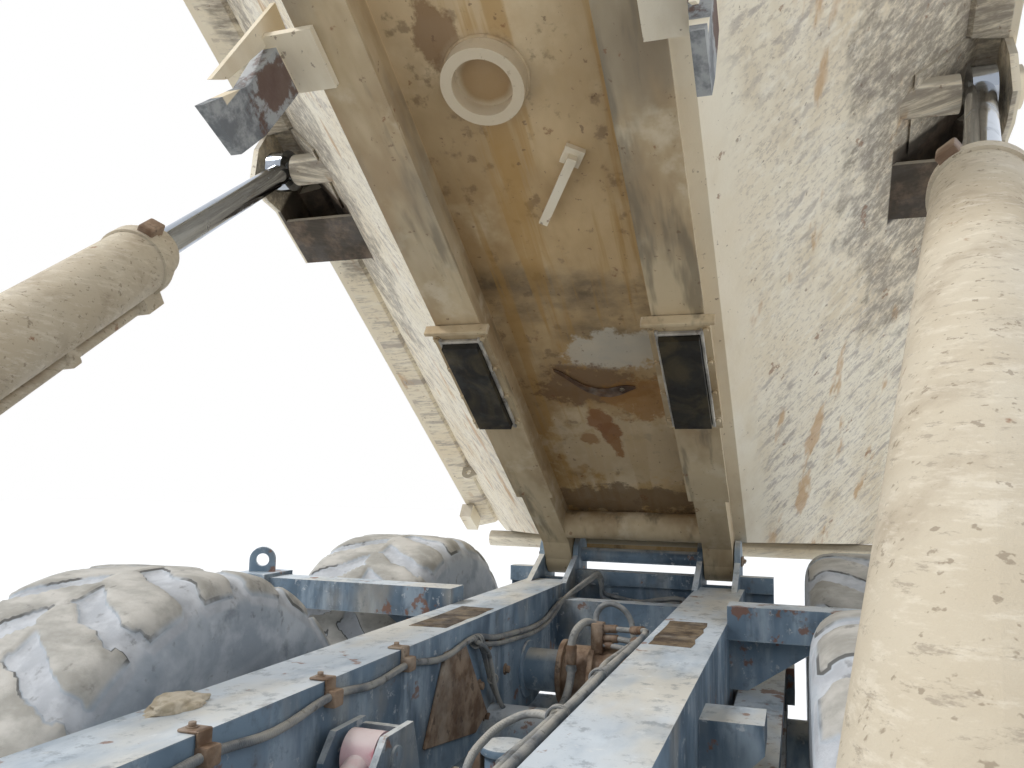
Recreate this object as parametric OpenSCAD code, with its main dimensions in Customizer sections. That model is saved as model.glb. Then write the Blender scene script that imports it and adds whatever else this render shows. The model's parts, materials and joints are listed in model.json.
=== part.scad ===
// Articulated dump truck, six wheels, hinged between its front unit and its rear frame, dump body raised.
// Millimetres. X points forward, Y to the truck's left, Z up from the ground.
// Every place below is measured forward from the dump body's hinge (h), then left (y), then up (z).
// Places on the dump body are measured along its floor from the hinge (s), to the left (u) and up off its floor (n).

/* [Stance] */
// Angle between the dump body and the rear frame
tip_angle = 32.9; // [0:0.1:60]
// Height of the dump body's hinge above the ground
hinge_height = 1490; // [1470:5:1560]

/* [Wheels] */
// Outer radius of a tyre over its lugs
tyre_radius = 790; // [770:5:800]
// Width of a tyre
tyre_width = 600; // [540:10:620]
// Outer radius of a rim's barrel
rim_radius = 325; // [300:5:340]
// From the middle of the truck to the middle of a tyre
half_track = 1050; // [1045:1:1060]
// Radius of a wheel's hub
hub_radius = 205; // [180:5:220]
// Gap between a tyre's bead and its rim
bead_gap = 0.3; // [0.3:0.1:0.5]
// Gap between a turning hub and the axle that carries it
hub_gap = 0.5; // [0.3:0.1:0.9]

/* [Axles] */
// Rear axle ahead of the body hinge
rear_axle = 410; // [405:5:415]
// From the rear axle to the middle axle
bogie_spacing = 1690; // [1680:5:1720]
// From the middle axle to the front axle
wheelbase = 4175; // [4150:5:4200]
// Radius of an axle's tube
axle_tube = 115; // [90:5:125]
// Radius of an axle's differential housing
axle_bulb = 255; // [220:5:270]

/* [Rear frame] */
// From the middle of the truck to the outer face of a frame rail
rail_outer = 500; // [490:5:505]
// Width of a frame rail
rail_width = 205; // [180:5:215]
// Depth of a frame rail
rail_depth = 420; // [380:5:440]
// Top of a frame rail below the body hinge
rail_drop = 107; // [106:1:112]
// Plate thickness of the frame rails
rail_wall = 16; // [10:1:20]
// Front end of the frame rails
rail_front = 3900; // [3850:5:3950]
// Rear end of the frame rails' top
rail_rear = 180; // [160:5:200]

/* [Body hinge] */
// Radius of the hinge pins
hinge_pin = 42; // [35:1:45]
// Gap round a hinge pin in its bore
pin_fit = 0.05; // [0.02:0.01:0.1]
// Thickness of a hinge lug
lug_thick = 25; // [20:1:30]
// Outer radius of the hinge lugs and ears
ear_radius = 95; // [80:5:100]
// Gap between a body ear and the lugs beside it
ear_gap = 6; // [5:1:8]

/* [Dump body] */
// Half the width of the flat middle of the floor
floor_half = 500; // [480:5:520]
// Underside of the floor above the hinge
floor_rise = 100; // [90:5:110]
// Where the sloping floor meets the side wall, from the middle
corner_half = 1336; // [1300:4:1340]
// Height of that corner above the hinge
corner_rise = 969; // [940:5:980]
// Half the width of the body outside
body_half = 1430; // [1425:5:1440]
// Thickness of the floor plates
floor_plate = 20; // [14:1:25]
// Thickness of the side plates
side_plate_t = 18; // [12:1:22]
// Lower edge of the side sill above the hinge
sill_low = 870; // [860:5:880]
// Length of the body behind the hinge
tail_length = 1288; // [1250:5:1300]
// Angle that the tail of the floor kicks up
tail_kick = 30; // [26:1:32]
// Top of the side at the tail
tail_top = 1180; // [1150:5:1250]
// Top of the side in the middle
side_top = 1350; // [1300:5:1400]
// Front wall at floor height, ahead of the hinge
front_foot = 3640; // [3600:10:3700]
// Front wall at its top, ahead of the hinge
front_top = 4420; // [4350:10:4440]
// Top of the spill guard above the hinge
guard_top = 1900; // [1850:10:1920]

/* [Body rails] */
// Inner face of a body sill from the middle
sill_inner = 314; // [310:1:320]
// Width of a body sill
sill_width = 131; // [120:1:133]
// Underside of a body sill below the hinge
sill_drop = 30; // [20:1:35]
// Rear end of a rubber pad
pad_rear = 1173; // [1150:1:1200]
// Length of a rubber pad
pad_length = 470; // [440:5:500]
// Gap between a lowered pad and the frame rail
pad_gap = 5; // [5:1:8]

/* [Hoist] */
// Upper hoist pin along the body
hoist_s = 1858; // [1840:2:1870]
// Upper hoist pin from the middle
hoist_u = 1327; // [1325:1:1329]
// Upper hoist pin above the hinge, off the floor
hoist_n = 765; // [760:1:775]
// From the upper pin to the lower pin as stored
hoist_length = 3900; // [3890:5:3910]
// Slope of a hoist cylinder, seen from the side
hoist_slope = 33.2; // [33:0.1:33.4]
// Angle that a hoist cylinder leans inwards to its foot
hoist_lean = 9.65; // [9.5:0.05:9.8]
// Radius of a hoist barrel
barrel_radius = 100; // [95:1:102]
// Radius of a hoist rod
rod_radius = 45; // [40:1:47]
// Rod that shows between the barrel and the upper pin
rod_shown = 1140; // [1135:5:1160]
// Outer radius of the hoist eyes
hoist_eye = 85; // [78:1:86]
// Width of a hoist eye
hoist_eye_w = 74; // [60:2:76]
// Radius of the hoist pins
hoist_pin = 40; // [34:1:42]

/* [Articulation] */
// Steering pivot ahead of the body hinge
steer_h = 4760; // [4750:5:4770]
// Height of the roll bearing's axis
roll_height = 1080; // [1070:5:1090]
// Radius of the roll bearing
roll_radius = 210; // [190:5:215]
// Radius of the steering pivot pins
steer_pin = 55; // [45:1:60]
// Height of the steering knuckle between its forks
knuckle_height = 250; // [240:5:260]
// Thickness of a fork plate
fork_plate = 40; // [34:1:44]

/* [Front unit] */
// Outer face of a front rail from the middle
front_rail = 420; // [410:5:425]
// Front end of the bumper
nose_h = 9039; // [9020:1:9060]
// Half the width of the cab
cab_half = 830; // [820:5:835]
// Underside of the cab's floor
cab_low = 1720; // [1710:5:1730]
// Top of the cab's roof
cab_high = 3430; // [3400:5:3450]
// Thickness of the cab's walls and door
cab_wall = 45; // [40:1:50]
// Half the width of the hood
hood_half = 650; // [630:5:660]
// Thickness of the hood's panels
hood_wall = 25; // [20:1:30]
// Thickness of window glass
glass = 8; // [6:1:10]
// Gap between a fixed piece and what it rests on
seat = 0.3; // [0.2:0.1:0.4]

/* [Hidden] */
$fn = 48;

WHEELS = [ // name, axle ahead of the hinge, side
    ["front_left", rear_axle + bogie_spacing + wheelbase, 1],
    ["front_right", rear_axle + bogie_spacing + wheelbase, -1],
    ["mid_left", rear_axle + bogie_spacing, 1],
    ["mid_right", rear_axle + bogie_spacing, -1],
    ["rear_left", rear_axle, 1],
    ["rear_right", rear_axle, -1]
];
SIDES = [["left", 1], ["right", -1]]; // name, side

// The origin lies on the ground under the middle of the whole truck
tail_back = tail_length * cos(tip_angle) + tail_top * sin(tip_angle);
hinge_h = -(nose_h - tail_back) / 2;

wheel_z = tyre_radius;
mid_axle = rear_axle + bogie_spacing;
front_axle_h = mid_axle + wheelbase;
pivot_h = (rear_axle + mid_axle) / 2;
rail_inner = rail_outer - rail_width;
rail_top = hinge_height - rail_drop;
rail_low = rail_top - rail_depth;

cream = [0.72, 0.66, 0.52];
frame_blue = [0.38, 0.43, 0.47];
dark = [0.2, 0.2, 0.2];
chrome = [0.75, 0.76, 0.78];
rubber = [0.13, 0.13, 0.13];
tint = [0.35, 0.45, 0.5, 0.5];

// Placing
module placed() translate([hinge_h, 0, 0]) children();
module tipped() translate([hinge_h, 0, hinge_height]) rotate([0, -tip_angle, 0]) children();
module both_sides() for (m = [0, 1]) mirror([0, m, 0]) children();
module on_side(side) mirror([0, side < 0 ? 1 : 0, 0]) children();

// A profile drawn in (h, z) and given its width from y0 to y1
module along_y(y0, y1) translate([0, y1, 0]) rotate([90, 0, 0]) linear_extrude(y1 - y0) children();
// A profile drawn in (y, z) and given its length from x0 to x1
module along_x(x0, x1) translate([x0, 0, 0]) rotate([90, 0, 90]) linear_extrude(x1 - x0) children();
// A profile drawn in (h, y) and given its height from z0 to z1
module along_z(z0, z1) translate([0, 0, z0]) linear_extrude(z1 - z0) children();
module block(low, high) translate(low) cube(high - low);
// Round bars whose axis lies along y, along x and along z
module bar_y(h, z, r, y0, y1) translate([h, y1, z]) rotate([90, 0, 0]) cylinder(h = y1 - y0, r = r);
module bar_x(y, z, r, x0, x1) translate([x0, y, z]) rotate([0, 90, 0]) cylinder(h = x1 - x0, r = r);
module bar_z(h, y, r, z0, z1) translate([h, y, z0]) cylinder(h = z1 - z0, r = r);

// Wheels

bead_half = 215;
flange_reach = 22;
lug_count = 22;
lug_pitch = 360 / lug_count;
lug_deep = 48;
// Stations round one pitch, in parts of the pitch: a lug's start, its end, and the groove; with the tread's radius
STATIONS = [[0, tyre_radius], [0.5, tyre_radius], [0.75, tyre_radius - lug_deep]];
bead_radius = (rim_radius + bead_gap) / cos(lug_pitch / 4) + 0.1;
// Points across the tyre at one station: radius, distance from the middle, turn of the tread against the sides
function tyre_row(tread) = let (half = tyre_width / 2, turn = lug_pitch / 4) [
    [bead_radius, -bead_half, 0], [tyre_radius - 78, -half, 0], [tread, 32 - half, -turn], [tread / 2 + tyre_radius / 2 - 12, 0, 0],
    [tread, half - 32, turn], [tyre_radius - 78, half, 0], [bead_radius, bead_half, 0]
];
module wheel_place(w) placed() translate([w[1], 0, wheel_z]) on_side(w[2]) translate([0, half_track, 0])
    rotate([-90, 0, 0]) children();
// The ring of lugs is turned so that two lug corners stand on the ground
module tyre(w) color(rubber) wheel_place(w) {
    rows = [for (k = [0:lug_count - 1]) for (e = STATIONS) [90 - lug_pitch / 4 + (k - 0.5) * lug_pitch + e[0] * lug_pitch, tyre_row(e[1])]];
    across = len(rows[0][1]);
    total = len(rows) * across;
    corners = [for (r = rows) for (p = r[1]) [p[0] * cos(r[0] + p[2]), p[0] * sin(r[0] + p[2]), p[1]]];
    sheets = [for (i = [0:len(rows) - 1]) for (j = [0:across - 1]) let (
        a = i * across + j, b = i * across + (j + 1) % across, c = (b + across) % total, d = (a + across) % total) [a, b, c, d]];
    polyhedron(points = corners, faces = sheets, convexity = 8);
}

rim_wall = 22;
disc_out = 70;
hub_in = -110;
hub_out = 205;
module rim(w) color(cream) wheel_place(w) {
    // Barrel with its two flanges
    rotate_extrude() polygon([
        [rim_radius - rim_wall, -bead_half - 16], [rim_radius + flange_reach, -bead_half - 19],
        [rim_radius + flange_reach, -bead_half - bead_gap - 5.3], [rim_radius, -bead_half - bead_gap],
        [rim_radius, bead_half + bead_gap], [rim_radius + flange_reach, bead_half + bead_gap + 5.3],
        [rim_radius + flange_reach, bead_half + 19], [rim_radius - rim_wall, bead_half + 16]
    ]);
    // Disc and the stepped planetary hub
    rotate_extrude() polygon([
        [0, hub_in], [hub_radius - 30, hub_in], [hub_radius - 30, 0], [hub_radius, 20], [hub_radius + 10, disc_out - 15],
        [rim_radius - rim_wall / 2, disc_out - 15], [rim_radius - rim_wall / 2, disc_out + 15],
        [hub_radius, disc_out + 15], [hub_radius - 25, hub_out - 40], [hub_radius - 75, hub_out - 12],
        [hub_radius - 130, hub_out], [0, hub_out]
    ]);
    // Wheel nuts in a ring
    for (k = [0:11]) rotate([0, 0, 30 * k]) translate([hub_radius + 45, 0, disc_out + 15]) cylinder(h = 28, r = 15);
}

module axle(h) translate([h, 0, wheel_z]) {
    hub_face = half_track + hub_in - hub_gap;
    both_sides() rotate([-90, 0, 0]) rotate_extrude() polygon([
        [0, 0], [axle_bulb, 0], [axle_bulb, 60], [axle_bulb - 40, 150], [axle_tube + 30, 240], [axle_tube, 300],
        [axle_tube, hub_face - 150], [axle_tube + 60, hub_face - 110], [axle_tube + 60, hub_face], [0, hub_face]
    ]);
    // Pinion noses before and behind
    bar_x(0, nose_rise, nose_radius, -axle_bulb - nose_out, axle_bulb + nose_out);
}
nose_rise = 0;
nose_radius = 92;
nose_out = 20;

// Rear frame

wear_end = 330;
tail_plate = 620;
tail_plate_low = 1010;
lug_inner = sill_inner - ear_gap - lug_thick;
lug_outer = sill_inner + sill_width + ear_gap;
cross_tubes = [ // ahead of the hinge, height, radius
    [2900, 1050, 90],
    [3650, 1120, 80]
];
trunnion_z = rail_low - 3;
trunnion_r = 110;

module rail() {
    rear_deep = rail_depth - 120;
    outline = [[rail_rear, rail_top], [rail_rear, rail_top - rear_deep], [pivot_h - 500, rail_low], [rail_front, rail_low],
               [rail_front, rail_top]];
    inner = [[rail_rear + rail_wall, rail_top - rail_wall], [rail_rear + rail_wall, rail_top - rear_deep + rail_wall],
             [pivot_h - 500, rail_low + rail_wall], [rail_front - rail_wall, rail_low + rail_wall],
             [rail_front - rail_wall, rail_top - rail_wall]];
    difference() {
        along_y(rail_inner, rail_outer) polygon(outline);
        along_y(rail_inner + rail_wall, rail_outer - rail_wall) polygon(inner);
    }
}

// Lug plates stand off the rail's end and carry the body hinge
module hinge_lug(y0) {
    difference() {
        union() {
            along_y(y0, y0 + lug_thick) polygon([
                [rail_rear + 130, rail_top], [rail_rear + 130, rail_top - 110], [rail_rear + 1, rail_top - 280],
                [-40, tail_plate_low + 90], [-ear_radius, hinge_height - 120], [-ear_radius, hinge_height],
                [ear_radius, hinge_height]
            ]);
            bar_y(0, hinge_height, ear_radius, y0, y0 + lug_thick);
        }
        block([rail_rear - 1, rail_inner, rail_low], [rail_rear + 200, rail_outer, rail_top]);
    }
}

hoist_foot = hoist_point(hoist_length);
foot_plate = 26;
foot_gap = 13.5;
foot_round = 72;
foot_inner = hoist_foot[1] - hoist_eye_w / 2 - foot_gap;
foot_outer = hoist_foot[1] + hoist_eye_w / 2 + foot_gap;
foot_ball = 58;
foot_pin = 30;
foot_low = rail_low - 70;

// The two plates that carry a hoist cylinder's foot, the pad that joins them to the neck, and the ball on its pin
module hoist_bracket() {
    for (y0 = [foot_inner - foot_plate, foot_outer]) {
        bar_y(hoist_foot[0], hoist_foot[2], foot_round, y0, y0 + foot_plate);
        along_y(y0, y0 + foot_plate) polygon([
            [hoist_foot[0] - foot_round, hoist_foot[2]], [hoist_foot[0] + foot_round, hoist_foot[2]],
            [hoist_foot[0] + foot_round, foot_low], [hoist_foot[0] - 330, foot_low], [hoist_foot[0] - 330, foot_low + 32],
            [hoist_foot[0] - 120, foot_low + 32], [hoist_foot[0] - foot_round, foot_low + 70]
        ]);
    }
    block([hoist_foot[0] - 330, 300, foot_low], [hoist_foot[0] + foot_round, foot_outer + foot_plate, foot_low + 32]);
    bar_y(hoist_foot[0], hoist_foot[2], foot_pin, foot_inner - foot_plate - 8, foot_outer + foot_plate + 8);
    translate(hoist_foot) sphere(foot_ball);
}

neck_front = 4255;
module neck() difference() {
    union() {
        along_z(rail_low - 40, rail_top - 30) polygon([
            [rail_front - 40, -rail_outer], [neck_front, -340], [neck_front, 340], [rail_front - 40, rail_outer]
        ]);
        bar_x(0, roll_height, roll_radius + 55, neck_front - 60, neck_front + 20);
    }
    bar_x(0, roll_height, roll_radius + pin_fit, neck_front - 255, neck_front + 21);
    // Hollow between the neck's top and bottom plates
    along_z(rail_low, rail_top - 70) polygon([
        [rail_front + 10, -rail_outer + 60], [neck_front - 270, -360], [neck_front - 270, 360],
        [rail_front + 10, rail_outer - 60]
    ]);
}

module bump_stop() difference() {
    block([1850, rail_outer, rocker_top + 13], [2010, rail_outer + 150, rocker_top + 148]);
    translate([0, rail_outer + 150, rocker_top + 13]) rotate([45, 0, 0]) cube([5000, 95, 95], center = true);
}

// Ears on the front cross tube that hold the forward end of the middle axle's link
module link_ears() for (y0 = [link_y - 62, link_y + 44]) along_y(y0, y0 + 18) polygon([
    [cross_tubes[0][0] + 20, cross_tubes[0][1] + 85], [cross_tubes[0][0] + 20, cross_tubes[0][1] - 85],
    [link_foot[0] + 30, link_foot[1] - 52], [link_foot[0] - 48, link_foot[1] - 20], [link_foot[0] - 48, link_foot[1] + 40],
    [link_foot[0] + 10, link_foot[1] + 58]
]);

module rear_frame() color(frame_blue) placed() {
    both_sides() {
        rail();
        hinge_lug(lug_inner);
        hinge_lug(lug_outer);
        bar_y(0, hinge_height, hinge_pin, lug_inner, lug_outer + lug_thick);
        bump_stop();
        hoist_bracket();
        // Shelf of the tail plate beside the lugs
        block([40, lug_outer + lug_thick, rail_top - 24], [110, tail_plate, rail_top + 47]);
    }
    // Tail plate with rounded lower corners
    along_x(60, 85) difference() {
        union() {
            translate([-tail_plate, tail_plate_low + 110]) square([2 * tail_plate, rail_top - tail_plate_low - 110]);
            translate([-tail_plate + 110, tail_plate_low]) square([2 * tail_plate - 220, 200]);
            for (y = [-1, 1]) translate([y * (tail_plate - 110), tail_plate_low + 110]) circle(110);
        }
        translate([-190, tail_plate_low + 90]) square([380, 130]);
    }
    block([20, -lug_inner, rail_top - 24], [110, lug_inner, rail_top + 40]);
    bar_y(0, hinge_height, hinge_pin - 8, -lug_inner, lug_inner);
    for (t = cross_tubes) bar_y(t[0], t[1], t[2], -rail_inner, rail_inner);
    // Trunnion that the rocking beams turn on
    bar_y(pivot_h, trunnion_z, trunnion_r, -rail_outer, rail_outer);
    // Hanger for the end of the shaft to the axles
    block([prop_end, -100, wheel_z - 40], [3650, 100, 1100]);
    block([330, -rail_inner, rail_top - 260], [420, rail_inner, rail_top - 60]);
    neck();
    link_ears();
    bar_y(link_foot[0], link_foot[1], 24, link_y - 62, link_y + 62);
}

// Beams that stand out between the tyres, each with a block and an eye lug at its end
beam_h = 1030;
beam_w = 130;
beam_top = rail_top + 57;
beam_out = 1440;
eye_hole = 26;
eye_turn = 30; // how far a lashing eye faces outwards
eye_y = beam_out - 70;
eye_z = beam_top + 62;
module anchor_beams() color(frame_blue) placed() both_sides() {
    block([beam_h, rail_outer + seat, beam_top - 110], [beam_h + beam_w, beam_out, beam_top]);
    block([beam_h - 35, beam_out - 150, beam_top - 105], [beam_h + beam_w + 35, beam_out, beam_top + 14]);
    // Gusset down to the rail
    along_x(beam_h + 15, beam_h + 40) polygon([
        [rail_outer + seat, beam_top - 109], [rail_outer + seat, rocker_top + 12], [rail_outer + 60, rocker_top + 12],
        [rail_outer + 330, beam_top - 109]
    ]);
    // Eye lug
    translate([beam_h + 65, eye_y, 0]) rotate([0, 0, -eye_turn]) difference() {
        union() {
            bar_x(0, eye_z, 52, -15, 15);
            block([-15, -52, beam_top + 13], [15, 52, eye_z]);
        }
        bar_x(0, eye_z, eye_hole, -16, 16);
    }
}

// Rocking beams that join the two rear axles, outside the frame
beam_inner = rail_outer + 25;
rocker_width = 150;
rocker_drop = trunnion_z + 30;
rocker_top = rocker_drop + 150;
module walking_beams() color(frame_blue) placed() both_sides() {
    difference() {
        union() {
            along_y(beam_inner, beam_inner + rocker_width) polygon([
                [rear_axle - 130, wheel_z + axle_tube + seat], [rear_axle + 150, wheel_z + axle_tube + seat],
                [pivot_h - 320, rocker_drop - 175], [pivot_h + 320, rocker_drop - 175],
                [mid_axle - 150, wheel_z + axle_tube + seat], [mid_axle + 130, wheel_z + axle_tube + seat],
                [mid_axle + 110, wheel_z + axle_tube + 190], [mid_axle - 240, rocker_top],
                [rear_axle + 240, rocker_top], [rear_axle - 110, wheel_z + axle_tube + 190]
            ]);
            // Spring saddles at both ends
            for (h = [rear_axle, mid_axle]) {
                block([h - 100, beam_inner - 10, wheel_z + axle_tube + 80],
                      [h + 100, beam_inner + rocker_width + 30, wheel_z + axle_tube + 220]);
            }
        }
        along_y(beam_inner + rocker_width - 25, beam_inner + rocker_width + 1) polygon([
            [rear_axle + 260, rocker_drop + 10], [pivot_h - 200, rocker_drop - 120], [pivot_h + 200, rocker_drop - 120],
            [mid_axle - 260, rocker_drop + 10], [mid_axle - 300, rocker_drop + 100], [rear_axle + 300, rocker_drop + 100]
        ]);
    }
    // Pivot shaft through the frame
    bar_y(pivot_h, trunnion_z, 80, rail_outer + seat, beam_inner + 1);
}

module bogie_axles() color(frame_blue) placed() {
    axle(rear_axle);
    axle(mid_axle);
    // Clevis that stands on the middle axle: two plates, a back plate and a pin
    for (y0 = [link_y - 70, link_y + 54]) along_y(y0, y0 + 16) polygon([
        [mid_axle - 20, wheel_z + 60], [mid_axle + 130, wheel_z + 60], [mid_axle + 250, 1020], [mid_axle + 360, 1120],
        [mid_axle + 360, clevis_top - 55], [mid_axle + 310, clevis_top], [mid_axle + 172, clevis_top], [mid_axle + 100, 1080]
    ]);
    block([mid_axle + 172, link_y - 55, 1085], [mid_axle + 190, link_y + 55, clevis_top - 12]);
    bar_y(link_pin[0], link_pin[1], 28, link_y - 82, link_y + 76);
}

// Shafts between the axles and the links that locate them
shaft_radius = 48;
link_radius = 34;
prop_end = 3570;
nose_reach = axle_bulb + nose_out + seat;
SHAFTS = [ // from, to, ahead of the hinge
    [rear_axle + nose_reach, mid_axle - nose_reach],
    [mid_axle + nose_reach, prop_end - seat]
];
link_y = -193;
clevis_top = 1285;
link_pin = [mid_axle + 262, 1228]; // h, z
link_foot = [cross_tubes[0][0] - 152, cross_tubes[0][1] + 10]; // h, z
module drive_line() {
    color(dark) placed() for (d = SHAFTS) {
        bar_x(0, wheel_z + nose_rise, shaft_radius, d[0], d[1]);
        for (h = [d[0], d[1] - 50]) bar_x(0, wheel_z + nose_rise, shaft_radius + 38, h, h + 50);
    }
    // Link from the clevis on the middle axle forward and down to the cross tube
    color([0.5, 0.38, 0.38]) placed() difference() {
        union() {
            for (e = [[link_pin, 54], [link_foot, 46]]) bar_y(e[0][0], e[0][1], e[1], link_y - 40, link_y + 40);
            run = link_foot - link_pin;
            translate([link_pin[0], link_y, link_pin[1]]) rotate([0, atan2(run[0], run[1]), 0]) cylinder(h = norm(run), r = link_radius);
        }
        bar_y(link_pin[0], link_pin[1], 28 + pin_fit, link_y - 90, link_y + 90);
        bar_y(link_foot[0], link_foot[1], 24 + pin_fit, link_y - 90, link_y + 90);
    }
}

// Hoses along the right rail and down to the axles. Routes: h, y, z by hand
hose_radius = 13;
hose_z = rail_top + hose_radius - 0.7;
HOSES = [
    [[3780, -291, hose_z], [3400, -290, hose_z], [3000, -291, hose_z], [2600, -290, hose_z], [2200, -291, hose_z],
     [1800, -290, hose_z], [1400, -291, hose_z], [1000, -290, hose_z], [700, -291, hose_z], [500, -290, hose_z],
     [360, -268, hose_z + 8], [240, -225, 1412], [155, -150, 1428], [143, 0, 1430], [150, 130, 1430], [165, 220, 1424]],
    [[1960, -291, hose_z], [1900, -280, hose_z + 4], [1850, -200, 1400], [1820, -90, 1370], [1785, -10, 1290],
     [1770, 30, 1200], [1830, 55, 1115], [1940, 40, 1060], [2040, 20, 1053]],
    [[3300, -180, 1240], [3000, -120, 1210], [2700, -90, 1190], [2400, -70, 1150], [2150, -60, 1090], [1950, -60, 1110],
     [1700, -30, 1200], [1500, 40, 1240], [1300, 90, 1230], [1100, 80, 1190], [900, 30, 1120], [700, -10, 1065],
     [520, -20, 1032.2]],
    [[3300, -120, 1230], [3000, -60, 1200], [2700, -30, 1180], [2400, -10, 1150], [2150, 10, 1110], [1950, 30, 1150],
     [1750, 90, 1220], [1500, 120, 1250], [1250, 150, 1240], [1000, 140, 1200], [700, 100, 1110], [480, 40, 1047]]
];
module swept(points, r, sides = 8) {
    count = len(points);
    function ahead(i) = let (d = points[min(i + 1, count - 1)] - points[max(i - 1, 0)]) d / norm(d);
    function across(d) = let (c = cross(d, [0, 0.15, 1])) c / norm(c);
    rings = [for (i = [0:count - 1]) let (d = ahead(i), a = across(d), b = cross(d, a))
        for (k = [0:sides - 1]) points[i] + r * (cos(360 * k / sides) * a + sin(360 * k / sides) * b)];
    walls = [for (i = [0:count - 2]) for (k = [0:sides - 1])
        [i * sides + k, i * sides + (k + 1) % sides, (i + 1) * sides + (k + 1) % sides, (i + 1) * sides + k]];
    ends = [[for (k = [sides - 1:-1:0]) k], [for (k = [0:sides - 1]) (count - 1) * sides + k]];
    polyhedron(points = rings, faces = concat(walls, ends), convexity = 6);
}
module frame_hoses() color([0.45, 0.43, 0.38]) placed() for (route = HOSES) swept(route, hose_radius);

module tail_lamps() color([0.6, 0.1, 0.08]) placed() both_sides()
    block([20, 510, rail_top - 203], [60, 610, rail_top - 83]);

// Roll and steering knuckle between the two frames

arm_reach = 330;
arm_h = steer_h - 150;
arm_low = 1055;
arm_high = 1093;
module hitch() color(frame_blue) placed() difference() {
    union() {
        bar_x(0, roll_height, roll_radius, neck_front - 250, neck_front + 25);
        bar_x(0, roll_height, roll_radius + 45, neck_front + 25, neck_front + 75);
        block([neck_front + 70, -110, roll_height - knuckle_height / 2], [steer_h, 110, roll_height + knuckle_height / 2]);
        bar_z(steer_h, 0, 110, roll_height - knuckle_height / 2, roll_height + knuckle_height / 2);
        // Side arms for the steering rods
        along_z(arm_low, arm_high) polygon([
            [neck_front + 75, -150], [arm_h - 60, -arm_reach - 45], [arm_h + 45, -arm_reach - 45], [arm_h + 45, 0],
            [arm_h + 45, arm_reach + 45], [arm_h - 60, arm_reach + 45], [neck_front + 75, 150]
        ]);
    }
    bar_z(steer_h, 0, steer_pin + pin_fit, 0, 3000);
    bar_x(0, roll_height, roll_radius - 50, neck_front - 251, neck_front - 60);
}

// Front unit

fork_gap = 5;
fork_low = roll_height - knuckle_height / 2 - fork_gap;
fork_high = roll_height + knuckle_height / 2 + fork_gap;
front_low = 1000;
front_high = 1300;
front_rail_w = 90;
front_rear = 5130;
front_step = 5570;
tongue_half = 290;
rail_skin = 14;
STEER_ROOT = [steer_h + 890, 500, 1130]; // where a steering barrel hangs on the front frame
steer_root_pin = 32;
root_gap = 5;
CAB_MOUNTS = [5630, 6570]; // ahead of the hinge
FENDER_ARMS = [5730, 6740]; // ahead of the hinge
module box_rail(h0, h1, y0, y1) difference() {
    block([h0, y0, front_low], [h1, y1, front_high]);
    block([h0 + 20, y0 + rail_skin, front_low + rail_skin], [h1 - 20, y1 - rail_skin, front_high - rail_skin]);
}
module root_plate(z0) along_z(z0, z0 + 28) polygon([
    [STEER_ROOT[0] - 48, front_rail - 1], [STEER_ROOT[0] + 130, front_rail - 1], [STEER_ROOT[0] + 48, STEER_ROOT[1] + 48],
    [STEER_ROOT[0] - 48, STEER_ROOT[1] + 48]
]);
module front_frame() color(frame_blue) placed() {
    both_sides() {
        box_rail(front_step, nose_h - 200, front_rail - front_rail_w, front_rail);
        box_rail(front_rear, front_step + 20, tongue_half - front_rail_w, tongue_half);
        for (h = CAB_MOUNTS) block([h, front_rail - 80, front_high - 1], [h + 90, front_rail, cab_low - seat]);
        for (h = FENDER_ARMS) {
            block([h, front_rail - 80, front_high - 1], [h + 90, front_rail, cab_low - 80]);
            block([h, front_rail - 80, cab_low - 90], [h + 90, fender_outer - 40, cab_low - 30 - seat]);
        }
        // Plates and pin that a steering barrel hangs on
        root_plate(STEER_ROOT[2] + steer_eye_half + root_gap);
        root_plate(STEER_ROOT[2] - steer_eye_half - root_gap - 28);
        bar_z(STEER_ROOT[0], STEER_ROOT[1], steer_root_pin, STEER_ROOT[2] - steer_eye_half - root_gap - 1,
              STEER_ROOT[2] + steer_eye_half + root_gap + 1);
    }
    // Forks over and under the knuckle, with the pivot pins
    for (z = [fork_low - fork_plate, fork_high]) along_z(z, z + fork_plate) {
        polygon([[steer_h, -115], [front_rear + 20, -tongue_half], [front_rear + 20, tongue_half], [steer_h, 115]]);
        translate([steer_h, 0]) circle(115);
    }
    bar_z(steer_h, 0, steer_pin, fork_low - fork_plate - 15, fork_high + fork_plate + 15);
    block([front_rear - 40, -tongue_half, fork_low - fork_plate], [front_rear, tongue_half, fork_high + fork_plate]);
    block([front_rear - 1, -tongue_half, front_low], [front_rear + 20, tongue_half, front_high]);
    block([front_step, -front_rail, front_low], [front_step + 30, front_rail, front_high]);
    for (h = [7050, 8300]) block([h, -front_rail + 80, front_low + 20], [h + 120, front_rail - 80, front_high - 150]);
    // Axle saddles
    both_sides() block([front_axle_h - 110, front_rail - front_rail_w, wheel_z + axle_tube + seat],
                       [front_axle_h + 110, front_rail, front_low + 1]);
}

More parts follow.
